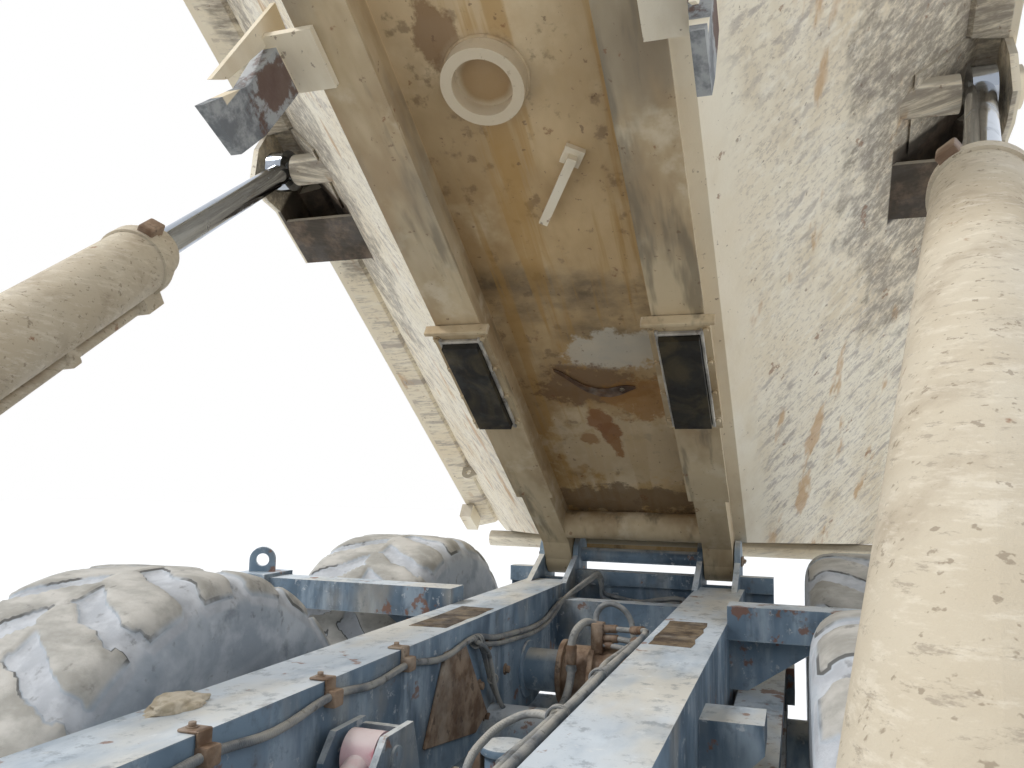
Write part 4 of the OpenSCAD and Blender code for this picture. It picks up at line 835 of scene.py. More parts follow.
def weave_finish():
    """Dark woven seat cover, its thread pattern on all three planes."""
    m = new_material("seat_weave")
    place = coords(m)
    threads = times(m, waves(m, place, 260), waves(m, place, 260, "Y"))
    tone = over(m, (0.012, 0.012, 0.014), (0.06, 0.06, 0.065), threads)
    tone = stain(m, tone, (0.13, 0.12, 0.10), 0.4, patches(m, place, 6, 0.5, 0.75))
    colour(m, tone)
    bumps(m, threads, 0.001, 0.5)
    shader(m).inputs["Roughness"].default_value = 0.9
    shader(m).inputs["Sheen Weight"].default_value = 0.35
    return m


def plastic_finish():
    """Grained dark plastic of the dash and controls."""
    m = new_material("dash_plastic")
    place = coords(m)
    tone = over(m, (0.022, 0.022, 0.023), (0.04, 0.039, 0.037), patches(m, place, 6, 0.4, 0.6))
    tone = stain(m, tone, (0.22, 0.20, 0.17), 0.4, facing_up(m), patches(m, place, 5, 0.4, 0.7))
    colour(m, tone)
    roughness(m, patches(m, place, 12, 0.4, 0.6), 0.45, 0.7)
    bumps(m, grain(m, place, 400, 2, 0.5), 0.0006, 0.4)
    return m


FRAME_BLUE = frame_finish()
CAST_STEEL = frame_finish("cast_grey", 0.55)
RUSTY_BLUE = frame_finish("rusty_blue", 0.59)
BODY_CREAM = body_finish()
FITTING_CREAM = body_finish("fitting_cream", grimy=False)
HOIST_CREAM = hoist_finish()
CAB_CREAM = cab_finish()
DULL_BLACK = dark_finish()
RUSTY = rusty_steel()
SCOURED = rusty_steel("scoured_rail", (0.055, 0.038, 0.026), (0.21, 0.155, 0.095))
MUD = mud_finish()
PALE_STEEL = rusty_steel("pale_steel", (0.30, 0.28, 0.25), (0.60, 0.56, 0.48))
DARK_RUST = rusty_steel("dark_rust", (0.07, 0.035, 0.018), (0.17, 0.08, 0.03))
FADED_RED = link_finish()
DUSTY_TYRE = tyre_finish()
ROD_CHROME = chrome_finish()
WINDOW_GLASS = glass_finish()
PAD_RUBBER = pad_finish()
HOSE_SHEATH = hose_finish()
RED_LENS = lens_finish("red_lens", (0.45, 0.02, 0.015))
CLEAR_LENS = lens_finish("clear_lens", (0.72, 0.74, 0.74))
SEAT_WEAVE = weave_finish()
DASH_PLASTIC = plastic_finish()

SLOT_FINISH = {
    "frame_paint": FRAME_BLUE,
    "body_paint": BODY_CREAM,
    "cab_paint": CAB_CREAM,
    "dark_paint": DULL_BLACK,
    "tyre_rubber": DUSTY_TYRE,
    "rod_chrome": ROD_CHROME,
    "window_glass": WINDOW_GLASS,
    "pad_rubber": PAD_RUBBER,
    "hose_sheath": HOSE_SHEATH,
    "lamp_plastic": RED_LENS,
    "seat_fabric": SEAT_WEAVE,
    "dash_plastic": DASH_PLASTIC,
}
SPECIAL_FINISH = {
    "hoist_barrel_left": HOIST_CREAM,
    "hoist_barrel_right": HOIST_CREAM,
    "body_fittings": FITTING_CREAM,
    "walking_beams": CAST_STEEL,
    "anchor_beams": RUSTY_BLUE,
    "drive_line": FADED_RED,
}


def dress_nodes():
    """Every carried-over CAD node gets the finish of its slot."""
    for part in frame["record"]["subparts"]:
        material = SPECIAL_FINISH.get(part["node"], SLOT_FINISH[part["material_slot"]])
        mesh = nodes[part["node"]].data
        mesh.materials.clear()
        mesh.materials.append(material)


# Wheels

TREAD_STEPS = 330
LUG_COUNT = 22
LUG_PITCH = 2 * math.pi / LUG_COUNT
GROOVE_DEPTH = 0.017
SHOULDER = 0.781


def worn(place, scale):
    """A smooth, repeatable unevenness between -1 and 1."""
    return noise.noise(Vector(place) * scale)


def ease(value):
    value = max(0.0, min(1.0, value))
    return value * value * (3 - 2 * value)


def tyre_outline():
    """From the bead up the side and across the tread: distance from the middle, radius."""
    side = [(0.2142, 0.3258), (0.2175, 0.350), (0.236, 0.368), (0.262, 0.41), (0.280, 0.447),
            (0.286, 0.452), (0.287, 0.462), (0.284, 0.468), (0.290, 0.50), (0.2945, 0.54), (0.297, 0.58),
            (0.2985, 0.615), (0.299, 0.64), (0.2985, 0.66), (0.297, 0.68), (0.294, 0.70), (0.289, 0.718),
            (0.282, 0.734), (0.273, 0.748), (0.262, 0.759), (0.250, 0.768), (0.237, 0.7745),
            (0.223, 0.779), (0.210, SHOULDER)]
    tread = [(0.012 * k, 0.789 - 0.006 * (0.012 * k / 0.204) ** 2) for k in range(16, -1, -1)]
    return side + tread


def lug_cover(angle, y, drop, row):
    """1 on top of the lugs of one row, 0 in the grooves between them."""
    out = row * y + drop + 0.03
    if out < 0:
        return 0.0
    reach = out / 0.31
    wave = worn((2.2 * math.cos(angle), 2.2 * math.sin(angle), reach * 2.4 + row * 5), 1.3)
    phase = angle / LUG_PITCH + 0.25 * row + 22 - 0.8 * (1 - min(reach, 1)) ** 1.5 + 0.16 * wave
    k = math.floor(phase)
    half = 0.31 + 0.06 * min(reach, 1.2) + 0.07 * worn((k % LUG_COUNT * 1.7, reach * 3.1, row), 1.0)
    gap = min((half - abs(phase - k - 0.5)) * LUG_PITCH * SHOULDER, out)
    return ease(gap / 0.013)


def tyres():
    """The tyre is spun about its axle, then its worn grooves are pressed in."""
    half = tyre_outline()
    profile = [(0, y, r) for y, r in half] + [(0, -y, r) for y, r in reversed(half[:-1])]
    tyre = spun("tyre", profile + profile[:1], (0, 1, 0), TREAD_STEPS)
    outward = [v.normal.copy() for v in tyre.data.vertices]
    heights = []
    for vertex, normal in zip(tyre.data.vertices, outward):
        x, y, z = vertex.co
        angle = math.atan2(x, z)
        drop = max(0.0, SHOULDER - math.hypot(x, z))
        fade = 1 - ease((drop - 0.03) / 0.075)
        cover = max(lug_cover(angle, y, drop, 1), lug_cover(angle, y, drop, -1)) if fade > 0 else 0.0
        dent = GROOVE_DEPTH * (1 - cover) * fade + 0.0015 * fade * (1 + worn(vertex.co, 14))
        vertex.co -= normal * dent
        heights.append(0.28 * (1 - fade) + (0.5 + 0.5 * cover) * fade)
    mark = tyre.data.attributes.new("tread_height", "FLOAT", "POINT")
    mark.data.foreach_set("value", heights)
    for wheel in WHEELS:
        worn_tyre = bpy.data.objects.new(f"worn_tyre_{wheel}", tyre.data.copy())
        scene.collection.objects.link(worn_tyre)
        settle(worn_tyre, on_wheel(wheel), f"wheel_{wheel}", DUSTY_TYRE, 60,
               [f"tyre_{wheel}"])
    bpy.data.objects.remove(tyre)


def hub_details():
    """Cover bolts round each hub, its plugs and the tyre's valve."""
    for wheel in WHEELS:
        places = [((x, 0.176, z), (0, 1, 0)) for x, z in around(16, 0.155)]
        cover = bolts("cover_bolts", 0.009, 0.014, places)
        plugs = bolts("plugs", 0.016, 0.02,
                      [((0, 0.204, 0.05), (0, 1, 0)), ((0, 0.204, -0.045), (0, 1, 0))])
        stem = bar("stem", (0.285, 0.10, 0), (0.27, 0.215, 0), 0.006, 12)
        cap = bar("cap", (0.2702, 0.214, 0), (0.268, 0.232, 0), 0.0085, 12)
        lip = ring("lip", (0, 0.2295, 0), (0, 1, 0), 0.333, 0.006, 64, 8)
        detail = joined(f"hub_details_{wheel}", [cover, plugs, stem, cap, lip])
        settle(detail, on_wheel(wheel), f"wheel_{wheel}", CAB_CREAM)


# Hoses, clips and small parts on the rear frame

AXLE_HEIGHT = 0.79
RAIL_TOP = 1.383
RAIL_SIDE = -0.281
RAIL_HOSE = [(3.78, 1.31), (3.60, 1.330), (3.25, 1.345), (3.03, 1.332), (2.807, 1.345), (2.60, 1.330),
             (2.369, 1.350), (2.17, 1.332), (1.977, 1.342), (1.736, 1.314), (1.465, 1.331), (1.28, 1.300),
             (1.083, 1.283), (0.80, 1.266), (0.62, 1.275), (0.50, 1.300)]


def rail_hose(first, drop, radius):
    """A hose clipped to the left rail's inner side, over to the rear plate and along it."""
    route = [(h, RAIL_SIDE + drop * 0.15, z - drop) for h, z in RAIL_HOSE[first:]]
    gap = 0.112 + drop
    route += [(0.40, -0.262, 1.330), (0.30, -0.235, 1.362 - drop * 0.5), (0.22, -0.190, 1.402 - drop * 0.6),
              (0.165, -0.168, 1.418 - drop * 0.8), (gap + 0.01, -0.158, 1.385 - drop)]
    route += [(gap, y, z - drop) for y, z in ((-0.150, 1.325), (-0.10, 1.310), (0.02, 1.292),
                                              (0.12, 1.308), (0.21, 1.316), (0.262, 1.290))]
    return hose("rail_hose", route, radius)


BAY_HOSES = [  # radius, points
    (0.008, [(1.50, -0.276, 1.332), (1.44, -0.272, 1.300), (1.385, -0.272, 1.235), (1.33, -0.272, 1.160),
             (1.26, -0.270, 1.090), (1.195, -0.266, 1.030), (1.19, -0.262, 0.995)]),
    (0.008, [(1.49, -0.262, 1.320), (1.43, -0.252, 1.285), (1.39, -0.250, 1.225), (1.35, -0.250, 1.150),
             (1.30, -0.246, 1.085), (1.245, -0.242, 1.040), (1.235, -0.240, 1.010)]),
    (0.015, [(0.885, 0.0, 1.285), (0.90, -0.03, 1.312), (0.94, -0.062, 1.300), (0.965, -0.084, 1.245),
             (0.97, -0.084, 1.180), (0.975, -0.084, 1.125), (1.02, -0.086, 1.070), (1.10, -0.088, 1.035),
             (1.20, -0.090, 0.995)]),
    (0.0115, [(0.86, -0.012, 1.262), (0.82, -0.026, 1.300), (0.80, -0.022, 1.340), (0.80, 0.014, 1.370),
              (0.80, 0.066, 1.362), (0.80, 0.100, 1.330), (0.81, 0.118, 1.280), (0.84, 0.120, 1.185)]),
    (0.0105, [(0.895, 0.0, 1.290), (0.90, 0.06, 1.293), (0.92, 0.13, 1.296), (1.00, 0.190, 1.312),
              (1.20, 0.232, 1.338), (1.42, 0.262, 1.364), (1.70, 0.270, 1.372), (1.95, 0.252, 1.359),
              (2.15, 0.268, 1.372), (2.33, 0.253, 1.357), (2.60, 0.270, 1.372), (2.90, 0.268, 1.368),
              (3.20, 0.255, 1.345), (3.50, 0.225, 1.305), (3.78, 0.190, 1.280)]),
    (0.011, [(0.895, 0.0, 1.256), (0.90, 0.07, 1.258), (0.93, 0.14, 1.258), (1.05, 0.190, 1.285),
             (1.27, 0.205, 1.312), (1.50, 0.206, 1.322), (1.72, 0.212, 1.336), (1.95, 0.236, 1.349),
             (2.10, 0.212, 1.318), (2.33, 0.235, 1.346), (2.48, 0.206, 1.320), (2.70, 0.212, 1.322),
             (3.0, 0.205, 1.302), (3.45, 0.170, 1.290), (3.78, 0.140, 1.270)]),
    (0.0095, [(0.895, -0.004, 1.232), (0.92, 0.08, 1.232), (1.00, 0.145, 1.240), (1.20, 0.185, 1.290),
              (1.45, 0.240, 1.340), (1.70, 0.244, 1.346), (1.95, 0.247, 1.338), (2.12, 0.240, 1.338),
              (2.33, 0.247, 1.336), (2.55, 0.244, 1.346), (3.0, 0.236, 1.330), (3.45, 0.20, 1.290),
              (3.78, 0.165, 1.255)]),
    (0.0095, [(2.56, 0.190, 1.312), (2.42, 0.218, 1.332), (2.33, 0.228, 1.336), (2.27, 0.160, 1.330),
              (2.27, 0.115, 1.312), (2.33, 0.078, 1.285), (2.41, 0.064, 1.240), (2.42, 0.064, 1.190),
              (2.34, 0.064, 1.150), (2.22, 0.056, 1.135), (2.12, 0.048, 1.130)]),
    (0.008, [(1.95, 0.234, 1.337), (1.84, 0.190, 1.300), (1.70, 0.130, 1.240), (1.58, 0.070, 1.170),
             (1.50, 0.020, 1.110), (1.42, -0.02, 1.060), (1.33, -0.05, 1.040), (1.27, -0.06, 1.02)]),
]

HOSE_TIES = [  # place, radius
    ((1.462, -0.274, 1.320), 0.020), ((1.48, -0.274, 1.320), 0.020), ((1.345, -0.261, 1.175), 0.017),
    ((1.95, 0.244, 1.349), 0.022), ((1.962, 0.244, 1.349), 0.022), ((2.33, 0.242, 1.346), 0.024),
    ((2.342, 0.242, 1.346), 0.024), ((0.97, -0.084, 1.15), 0.018),
]


def frame_hoses():
    made = [rail_hose(0, 0.0, 0.0098), rail_hose(10, 0.021, 0.0088)]
    made += [hose("bay_hose", route, radius) for radius, route in BAY_HOSES]
    for place, size in HOSE_TIES:
        made.append(ring("tie", place, (1, 0.1, 0.05), size, 0.0035, 24, 6))
    settle(joined("hose_bundle", made), ON_TRUCK, "rear_frame", HOSE_SHEATH, 60,
           ["frame_hoses"])


def hose_ferrules():
    """Crimped metal ends of the hoses at the block on the cross tube, and their hexagon nuts."""
    made = []
    for foot, head, radius in (((0.893, 0.022, 1.290), (0.90, 0.075, 1.294), 0.016),
                               ((0.893, 0.022, 1.256), (0.90, 0.080, 1.258), 0.0155),
                               ((0.895, 0.022, 1.232), (0.905, 0.060, 1.232), 0.014),
                               ((0.92, 0.138, 1.297), (1.00, 0.192, 1.312), 0.0155),
                               ((0.94, 0.146, 1.260), (1.03, 0.184, 1.281), 0.015),
                               ((0.967, -0.084, 1.235), (0.97, -0.084, 1.165), 0.0195)):
        made.append(bevel(bar("sleeve", foot, head, radius, 20), 0.003, 2))
    nut = bar("nut", (0.8925, 0.012, 1.290), (0.8945, 0.026, 1.2905), 0.021, 6)
    made.append(bevel(nut, 0.002, 1))
    settle(joined("hose_ferrules", made), ON_TRUCK, "rear_frame", RUSTY)


def hose_clips():
    """Folded saddles that hang the two hoses on the rail's inner edge, each with its bolt."""
    saddle = edged("saddle", (-0.021, -0.296, -0.020), (0.021, -0.264, 0.019), 0.006, 2)
    tongue = edged("tongue", (-0.020, -0.335, 0.0385), (0.020, -0.288, 0.0445), 0.002, 1)
    fold = edged("fold", (-0.020, -0.294, -0.010), (0.020, -0.286, 0.0445), 0.002, 1)
    head = bolt(0.008, 0.010)
    moved_mesh(head.data, Matrix.Translation((0, -0.317, 0.0445)))
    clip = joined("clip", [saddle, tongue, fold, head])
    places = [Matrix.Translation((h, 0, 1.345)) for h in (3.25, 2.807, 2.369, 1.977)]
    settle(copies("hose_clips", clip, places), ON_TRUCK, "rear_frame", RUSTY)
    plate = edged("plate", (0.084, -0.012, -0.045), (0.150, 0.012, -0.038), 0.002, 1)
    post = edged("post", (0.084, -0.014, -0.045), (0.090, 0.014, 0.010), 0.002, 1)
    hook = joined("hook", [plate, post])
    places = [Matrix.Translation((0, y, 1.313)) for y in (-0.10, 0.21)]
    settle(copies("rear_hooks", hook, places), ON_TRUCK, "rear_frame", CAST_STEEL)


def on_cross_tube(name, low, high, radius):
    """A round piece about the cross tube, between two places across the truck."""
    return bar(name, (0.85, low, 1.11), (0.85, high, 1.11), radius, 48)


def bay_fittings():
    """Between the rails: a cross tube with its sleeve, the hose block, a gusset and a pot."""
    tube = on_cross_tube("tube", -0.296, 0.296, 0.080)
    flanges = [on_cross_tube("flange", y, y + 0.012, 0.108) for y in (-0.296, 0.284)]
    tube = bevel(joined("tube", [tube, *flanges]), 0.004, 2)
    pot = bar("pot", (2.10, 0.045, 1.02), (2.10, 0.045, 1.185), 0.050, 40)
    lid = bar("lid", (2.10, 0.045, 1.185), (2.10, 0.045, 1.205), 0.062, 40)
    settle(joined("bay_tube", [tube, bevel(joined("pot", [pot, lid]), 0.004, 2)]), ON_TRUCK, "rear_frame",
           FRAME_BLUE)
    sleeve = on_cross_tube("sleeve", -0.145, 0.120, 0.104)
    collars = [on_cross_tube("collar", y, y + 0.022, 0.122) for y in (-0.150, -0.030, 0.105)]
    hose_block = block("hose_block", (0.855, -0.024, 1.200), (0.915, 0.022, 1.312))
    corner = block("corner", (2.075, -0.045, 1.120), (2.125, -0.010, 1.185))
    rusty = bevel(joined("rusty", [sleeve, *collars, hose_block, corner]), 0.005, 2)
    outline = ((1.84, 1.08), (1.70, 1.325), (1.54, 1.318), (1.33, 1.06), (1.44, 1.02))
    gusset = sheet_metal("gusset", [(h, -0.294, z) for h, z in outline], (0, 0.012, 0))
    settle(joined("bay_rust", [rusty, bevel(gusset, 0.003, 1)]), ON_TRUCK, "rear_frame",
           RUSTY)


def mud_clump():
    """A lump of dry mud on the left rail."""
    deselect()
    bpy.ops.mesh.primitive_ico_sphere_add(subdivisions=5, radius=0.055,
                                          location=(2.69, -0.452, RAIL_TOP + 0.004))
    clump = bpy.context.object
    clump.name = "mud_clump"
    bpy.ops.object.transform_apply(location=True, rotation=True, scale=True)
    for vertex in clump.data.vertices:
        spread = vertex.co - Vector((2.69, -0.452, RAIL_TOP))
        rough = 1 + 0.35 * worn(vertex.co, 22) + 0.2 * worn(vertex.co, 60)
        vertex.co = Vector((2.69 + spread.x * 1.5 * rough, max(-0.497, -0.452 + spread.y * 0.8 * rough),
                            RAIL_TOP - 0.002 + max(0.0, spread.z) * 0.42 * rough))
    settle(clump, ON_TRUCK, "rear_frame", MUD, 60)


def rail_wear():
    """Dark, scoured patches on the rail tops where the body's pads rest."""
    parts = []
    for side in SIDES.values():
        patch = block("wear", (1.19, 0.318, RAIL_TOP), (1.63, 0.441, RAIL_TOP + 0.0012))
        subdivide(patch, 6)
        for vertex in patch.data.vertices:
            vertex.co.x += 0.012 * worn(vertex.co, 9)
            vertex.co.y += 0.010 * worn(vertex.co + Vector((3, 0, side)), 11)
        parts.append(copies("wear", patch, [Matrix.Scale(side, 4, (0, 1, 0))]))
    settle(joined("rail_wear", parts), ON_TRUCK, "rear_frame", SCOURED)


def frame_bolts():
    """Bolts of the tail plate, the cross tubes, the hoist brackets and the neck."""
    places = []
    for side in SIDES.values():
        for y in (0.54, 0.59):
            for z in (1.06, 1.14, 1.22):
                places.append(((0.085, side * y, z), (1, 0, 0)))
        for h in (4.0, 4.09, 4.18):
            places.append(((h, side * 0.52, 0.926), (0, 0, 1)))
        places += [((1.255 + x, side * 0.295, 1.16 + z), (0, -side, 0)) for x, z in around(6, 0.135)]
    places += [((4.275, y, 1.08 + z), (1, 0, 0)) for y, z in around(12, 0.238, 15)]
    settle(bolts("frame_bolts", 0.014, 0.018, places), ON_TRUCK, "rear_frame", RUSTY)


def axle_bolts():
    """Rings of bolts round each differential and its plug."""
    groups = {"rear_frame": ("rear", "mid"), "front_frame": ("front",)}
    for body, axles in groups.items():
        places = []
        for axle in axles:
            h = joint_place(f"wheel_{axle}_left_spin").x - HINGE.x
            for x, z in around(14, 0.228):
                places += [((h + x, side * 0.09, AXLE_HEIGHT + z), (0, side, 0)) for side in SIDES.values()]
            places.append(((h + 0.276, 0.0, AXLE_HEIGHT + 0.04), (1, 0, 0)))
        settle(bolts(f"axle_bolts_{body}", 0.012, 0.018, places), ON_TRUCK, body, FRAME_BLUE)


# The dump body's underside

PAD_ENDS = (1.173, 1.643)
PAD_SIDES = (0.314, 0.445)


def pad_frames():
    """Angle frames round the rubber pads, with the bolts of their plates."""
    parts = []
    low, high = -0.080, -0.0645
    border = 0.010
    for y in (PAD_SIDES[0] - border - 0.002, PAD_SIDES[1] + 0.002):
        parts.append(block("side", (PAD_ENDS[0] - 0.02, y, low), (PAD_ENDS[1] + 0.02, y + border, high)))
    for s in (PAD_ENDS[0] - border - 0.002, PAD_ENDS[1] + 0.002):
        parts.append(block("end", (s, PAD_SIDES[0] - 0.012, low), (s + border, PAD_SIDES[1] + 0.012, high)))
    parts.append(block("stop", (1.690, 0.262, -0.082), (1.706, 0.497, -0.0432)))
    settle(both_sides(bevel(joined("pad_strips", parts[:4]), 0.002, 1)), ON_BODY, "dump_body",
           PALE_STEEL)
    welded = bevel(parts[4], 0.002, 1)
    spots = [(1.66, 0.293), (1.66, 0.466), (1.50, 0.466), (1.34, 0.466), (1.18, 0.466), (1.50, 0.293),
             (1.34, 0.293), (1.18, 0.293), (1.145, 0.38)]
    heads = bolts("heads", 0.010, 0.014, [((s, y, -0.064), (0, 0, -1)) for s, y in spots])
    settle(both_sides(joined("pad_frames", [welded, heads])), ON_BODY, "dump_body",
           BODY_CREAM)


def floor_scars():
    """The torn dent in the floor and the weld bead round the collar."""
    rip = [(1.290, -0.150, 0.006), (1.262, -0.120, 0.014), (1.218, -0.085, 0.016), (1.175, -0.045, 0.020),
           (1.150, 0.0, 0.024), (1.146, 0.045, 0.026), (1.158, 0.085, 0.026), (1.172, 0.120, 0.018),
           (1.176, 0.150, 0.006)]
    edge = [(s - half, u, 0.0995) for s, u, half in rip]
    edge += [(s + half, u, 0.0995) for s, u, half in reversed(rip)]
    gash = sheet_metal("floor_gash", edge, (0, 0, -0.004))
    settle(inset(gash, (0, 0, -1), 0.004, -0.003), ON_BODY, "dump_body", DARK_RUST)
    hole = bevel(bar("bright_hole", (1.166, 0.096, 0.0925), (1.166, 0.096, 0.0948), 0.012, 20), 0.001, 1)
    settle(hole, ON_BODY, "dump_body", MUD)
    bead = ring("collar_weld", (2.53, -0.055, 0.097), (0, 0, 1), 0.118, 0.006, 48, 8)
    settle(bead, ON_BODY, "dump_body", BODY_CREAM)


def hinge_details():
    """Pin retainers with their bolts at the body hinge."""
    plate = edged("plate", (-0.045, 0.452 + 0.024, -0.022), (0.045, 0.452 + 0.034, 0.022), 0.004, 1)
    heads = bolts("heads", 0.008, 0.011, [((x, 0.486, 0), (0, 1, 0)) for x in (-0.03, 0.03)])
    keepers = both_sides(joined("hinge_keepers", [plate, heads]))
    settle(keepers, Matrix.Translation(HINGE), "rear_frame", RUSTY)


def hoist_details():
    """Gland ring with its bolts, pipe clamps and the hose end on each hoist cylinder."""
    for side, hand in SIDES.items():
        gland = 2.70
        collar = ring("collar", (0, 0, gland + 0.052), (0, 0, 1), 0.072, 0.012, 48, 10)
        places = [((x, y, gland + 0.060), (0, 0, 1)) for x, y in around(8, 0.066)]
        heads = bolts("heads", 0.009, 0.012, places)
        clamps = []
        for z in (0.95, 1.60, 2.20):
            clamps.append(edged("clamp", (-0.142, -0.030, z), (-0.092, 0.030, z + 0.04), 0.006, 2))
        plug = block(f"hoist_plug_{side}", (-0.024, -0.040, 0.085), (0.024, 0.040, 0.125))
        moved_mesh(bevel(plug, 0.006, 2).data,
                   Matrix.Translation((0, 0, 2.68)) @ facing((0, 0, 0), (0.78, -0.62 * hand, 0)))
        settle(plug, on_hoist(side), f"hoist_barrel_{side}", RUSTY)
        piece = joined(f"hoist_details_{side}", [collar, heads, *clamps])
        settle(piece, on_hoist(side), f"hoist_barrel_{side}", HOIST_CREAM)


# The front unit


def lamp_glasses():
    """Lenses of the headlamps, each with its bezel, and of the tail lamps."""
    nose = 9.039
    bezel = block("headlamp_bezels", (nose - 0.014, 0.592, 1.012), (nose - 0.002, 0.868, 1.168))
    bevel(bezel, 0.004, 2)
    inset(bezel, (1, 0, 0), 0.012, 0.006)
    settle(both_sides(bezel), ON_TRUCK, "front_frame", DULL_BLACK)
    lenses = []
    for y in (0.665, 0.795):
        lens = bar("lens", (nose - 0.012, y, 1.09), (nose - 0.003, y, 1.09), 0.058, 40, 0.052)
        lenses.append(bevel(lens, 0.003, 2))
    settle(both_sides(joined("headlamp_lenses", lenses)), ON_TRUCK, "front_frame",
           CLEAR_LENS)
    frames = []
    for z in (1.185, 1.225, 1.265):
        frames.append(edged("rib", (0.018, 0.515, z - 0.001), (0.0215, 0.605, z + 0.003), 0.001, 1))
    settle(both_sides(joined("tail_lamp_ribs", frames)), ON_TRUCK, "rear_frame", RED_LENS)


def frame_of(corners, name="seal"):
    """A thin round strip that runs round a window's corners."""
    points = []
    count = len(corners)
    for i, corner in enumerate(corners):
        corner = Vector(corner)
        before, after = Vector(corners[i - 1]), Vector(corners[(i + 1) % count])
        for other in (before, after):
            points.append(corner + (other - corner).normalized() * 0.035)
        points.insert(-1, corner + ((before - corner).normalized() + (after - corner).normalized()) * 0.010)
    points.append(points[0])
    return hose(name, points, 0.011, 8)


# The windscreen's lower and upper edge: forward, up
SCREEN_FOOT = (6.84, 2.33)
SCREEN_HEAD = (6.64, 3.43)


def on_windscreen(y, z, proud):
    """A point in front of the sloping windscreen."""
    slope = (SCREEN_HEAD[0] - SCREEN_FOOT[0]) / (SCREEN_HEAD[1] - SCREEN_FOOT[1])
    return Vector((SCREEN_FOOT[0] + (z - SCREEN_FOOT[1]) * slope + proud, y, z))


def window_seals():
    """Black rubber round the cab's windows."""
    side = [(5.45, 2.42), (6.72, 2.42), (6.58, 3.27), (5.47, 3.27)]
    small = [(5.452, 2.422), (5.638, 2.422), (5.638, 3.268), (5.462, 3.268)]
    door = [(5.79, 2.35), (6.47, 2.35), (6.47, 3.22), (5.79, 3.22)]
    rear = [(-0.66, 2.32), (0.66, 2.32), (0.66, 3.27), (-0.66, 3.27)]
    seals = []
    for corners, y in ((side, -0.829), (small, 0.829)):
        seals.append(frame_of([(h, y, z) for h, z in corners]))
    seals.append(frame_of([(5.372, y, z) for y, z in rear]))
    wind = [(-0.70, 2.42), (0.70, 2.42), (0.64, 3.29), (-0.64, 3.29)]
    seals.append(frame_of([on_windscreen(y, z, -0.004) for y, z in wind]))
    settle(joined("window_seals", seals), ON_TRUCK, "front_frame", DASH_PLASTIC, 50)
    settle(frame_of([(h, 0.829, z) for h, z in door], "door_seal"), ON_TRUCK, "cab_door",
           DASH_PLASTIC, 50)


def wipers():
    """Two wipers parked low on the windscreen, each with its arm, its blade and its cap."""
    parts = []
    for y in (-0.46, 0.10):
        foot, head = on_windscreen(y, 2.40, 0.026), on_windscreen(y + 0.30, 2.55, 0.030)
        parts.append(bevel(bar("cap", foot - Vector((0.03, 0, 0)), foot + Vector((0.012, 0, 0)), 0.022, 20,
                               0.018), 0.003, 2))
        parts.append(bar("arm", foot, head, 0.009, 10, 0.006))
        low, high = on_windscreen(y + 0.02, 2.475, 0.016), on_windscreen(y + 0.50, 2.60, 0.016)
        parts.append(bar("blade", low, high, 0.007, 8))
        parts.append(bar("holder", low.lerp(high, 0.2) + Vector((0.01, 0, 0)),
                         low.lerp(high, 0.8) + Vector((0.01, 0, 0)), 0.008, 8))
    settle(joined("wipers", parts), ON_TRUCK, "front_frame", DULL_BLACK)


def mirror_glasses():
    """A silvered glass in the back of each mirror, with its rubber edge."""
    glass = edged("mirror_glasses", (6.6765, 1.122, 2.542), (6.682, 1.308, 2.938), 0.003, 2)
    settle(both_sides(glass), ON_TRUCK, "front_frame", ROD_CHROME)
    edge = frame_of([(6.680, 1.118, 2.538), (6.680, 1.312, 2.538), (6.680, 1.312, 2.942),
                     (6.680, 1.118, 2.942)], "mirror_edges")
    settle(both_sides(edge), ON_TRUCK, "front_frame", DULL_BLACK, 50)


def stack_guard():
    """Slats held off the silencer by three bands, and a clamp round the pipe."""
    middle = Vector((6.935, -1.010, 0))
    parts = []
    for z in (1.84, 2.14, 2.44):
        parts.append(ring("band", middle + Vector((0, 0, z)), (0, 0, 1), 0.112, 0.006, 40, 6))
    for k in range(9):
        angle = math.radians(-10 - 20 * k)
        out = Vector((math.cos(angle), math.sin(angle), 0)) * 0.119
        parts.append(bar("slat", middle + out + Vector((0, 0, 1.81)), middle + out + Vector((0, 0, 2.47)),
                         0.0055, 8))
    for z in (2.56, 3.02):
        parts.append(ring("clamp", middle + Vector((0, 0, z)), (0, 0, 1), 0.057, 0.006, 32, 6))
    settle(joined("stack_guard", parts), ON_TRUCK, "front_frame", DARK_RUST)


def hood_latches():
    """Rubber draw latches, each on its pad, along the sides of the hood."""
    parts = []
    for h in (7.02, 8.30):
        parts.append(edged("pad", (h, 0.648, 1.60), (h + 0.05, 0.658, 1.70), 0.003, 2))
        parts.append(bevel(bar("strap", (h + 0.025, 0.663, 1.585), (h + 0.025, 0.663, 1.685), 0.011, 12),
                           0.004, 2))
        parts.append(bar("pull", (h - 0.002, 0.663, 1.69), (h + 0.052, 0.663, 1.69), 0.007, 10))
    settle(both_sides(joined("hood_latches", parts)), ON_TRUCK, "hood", DULL_BLACK)


def step_grips():
    """Rows of raised grips on the treads of the side steps."""
    grip = bar("grip", (0, 0, -0.002), (0, 0, 0.006), 0.011, 8, 0.008)
    places = []
    for z, rows in ((0.59, 8), (0.89, 7), (1.19, 6)):
        for i in range(10):
            for j in range(rows):
                place = Matrix.Translation((7.33 + 0.036 * (i + 0.5 * (j % 2)), 0.99 + 0.042 * j, z))
                places += [place, FLIP_SIDE @ place]
    settle(copies("step_grips", grip, places), ON_TRUCK, "front_frame", DULL_BLACK)


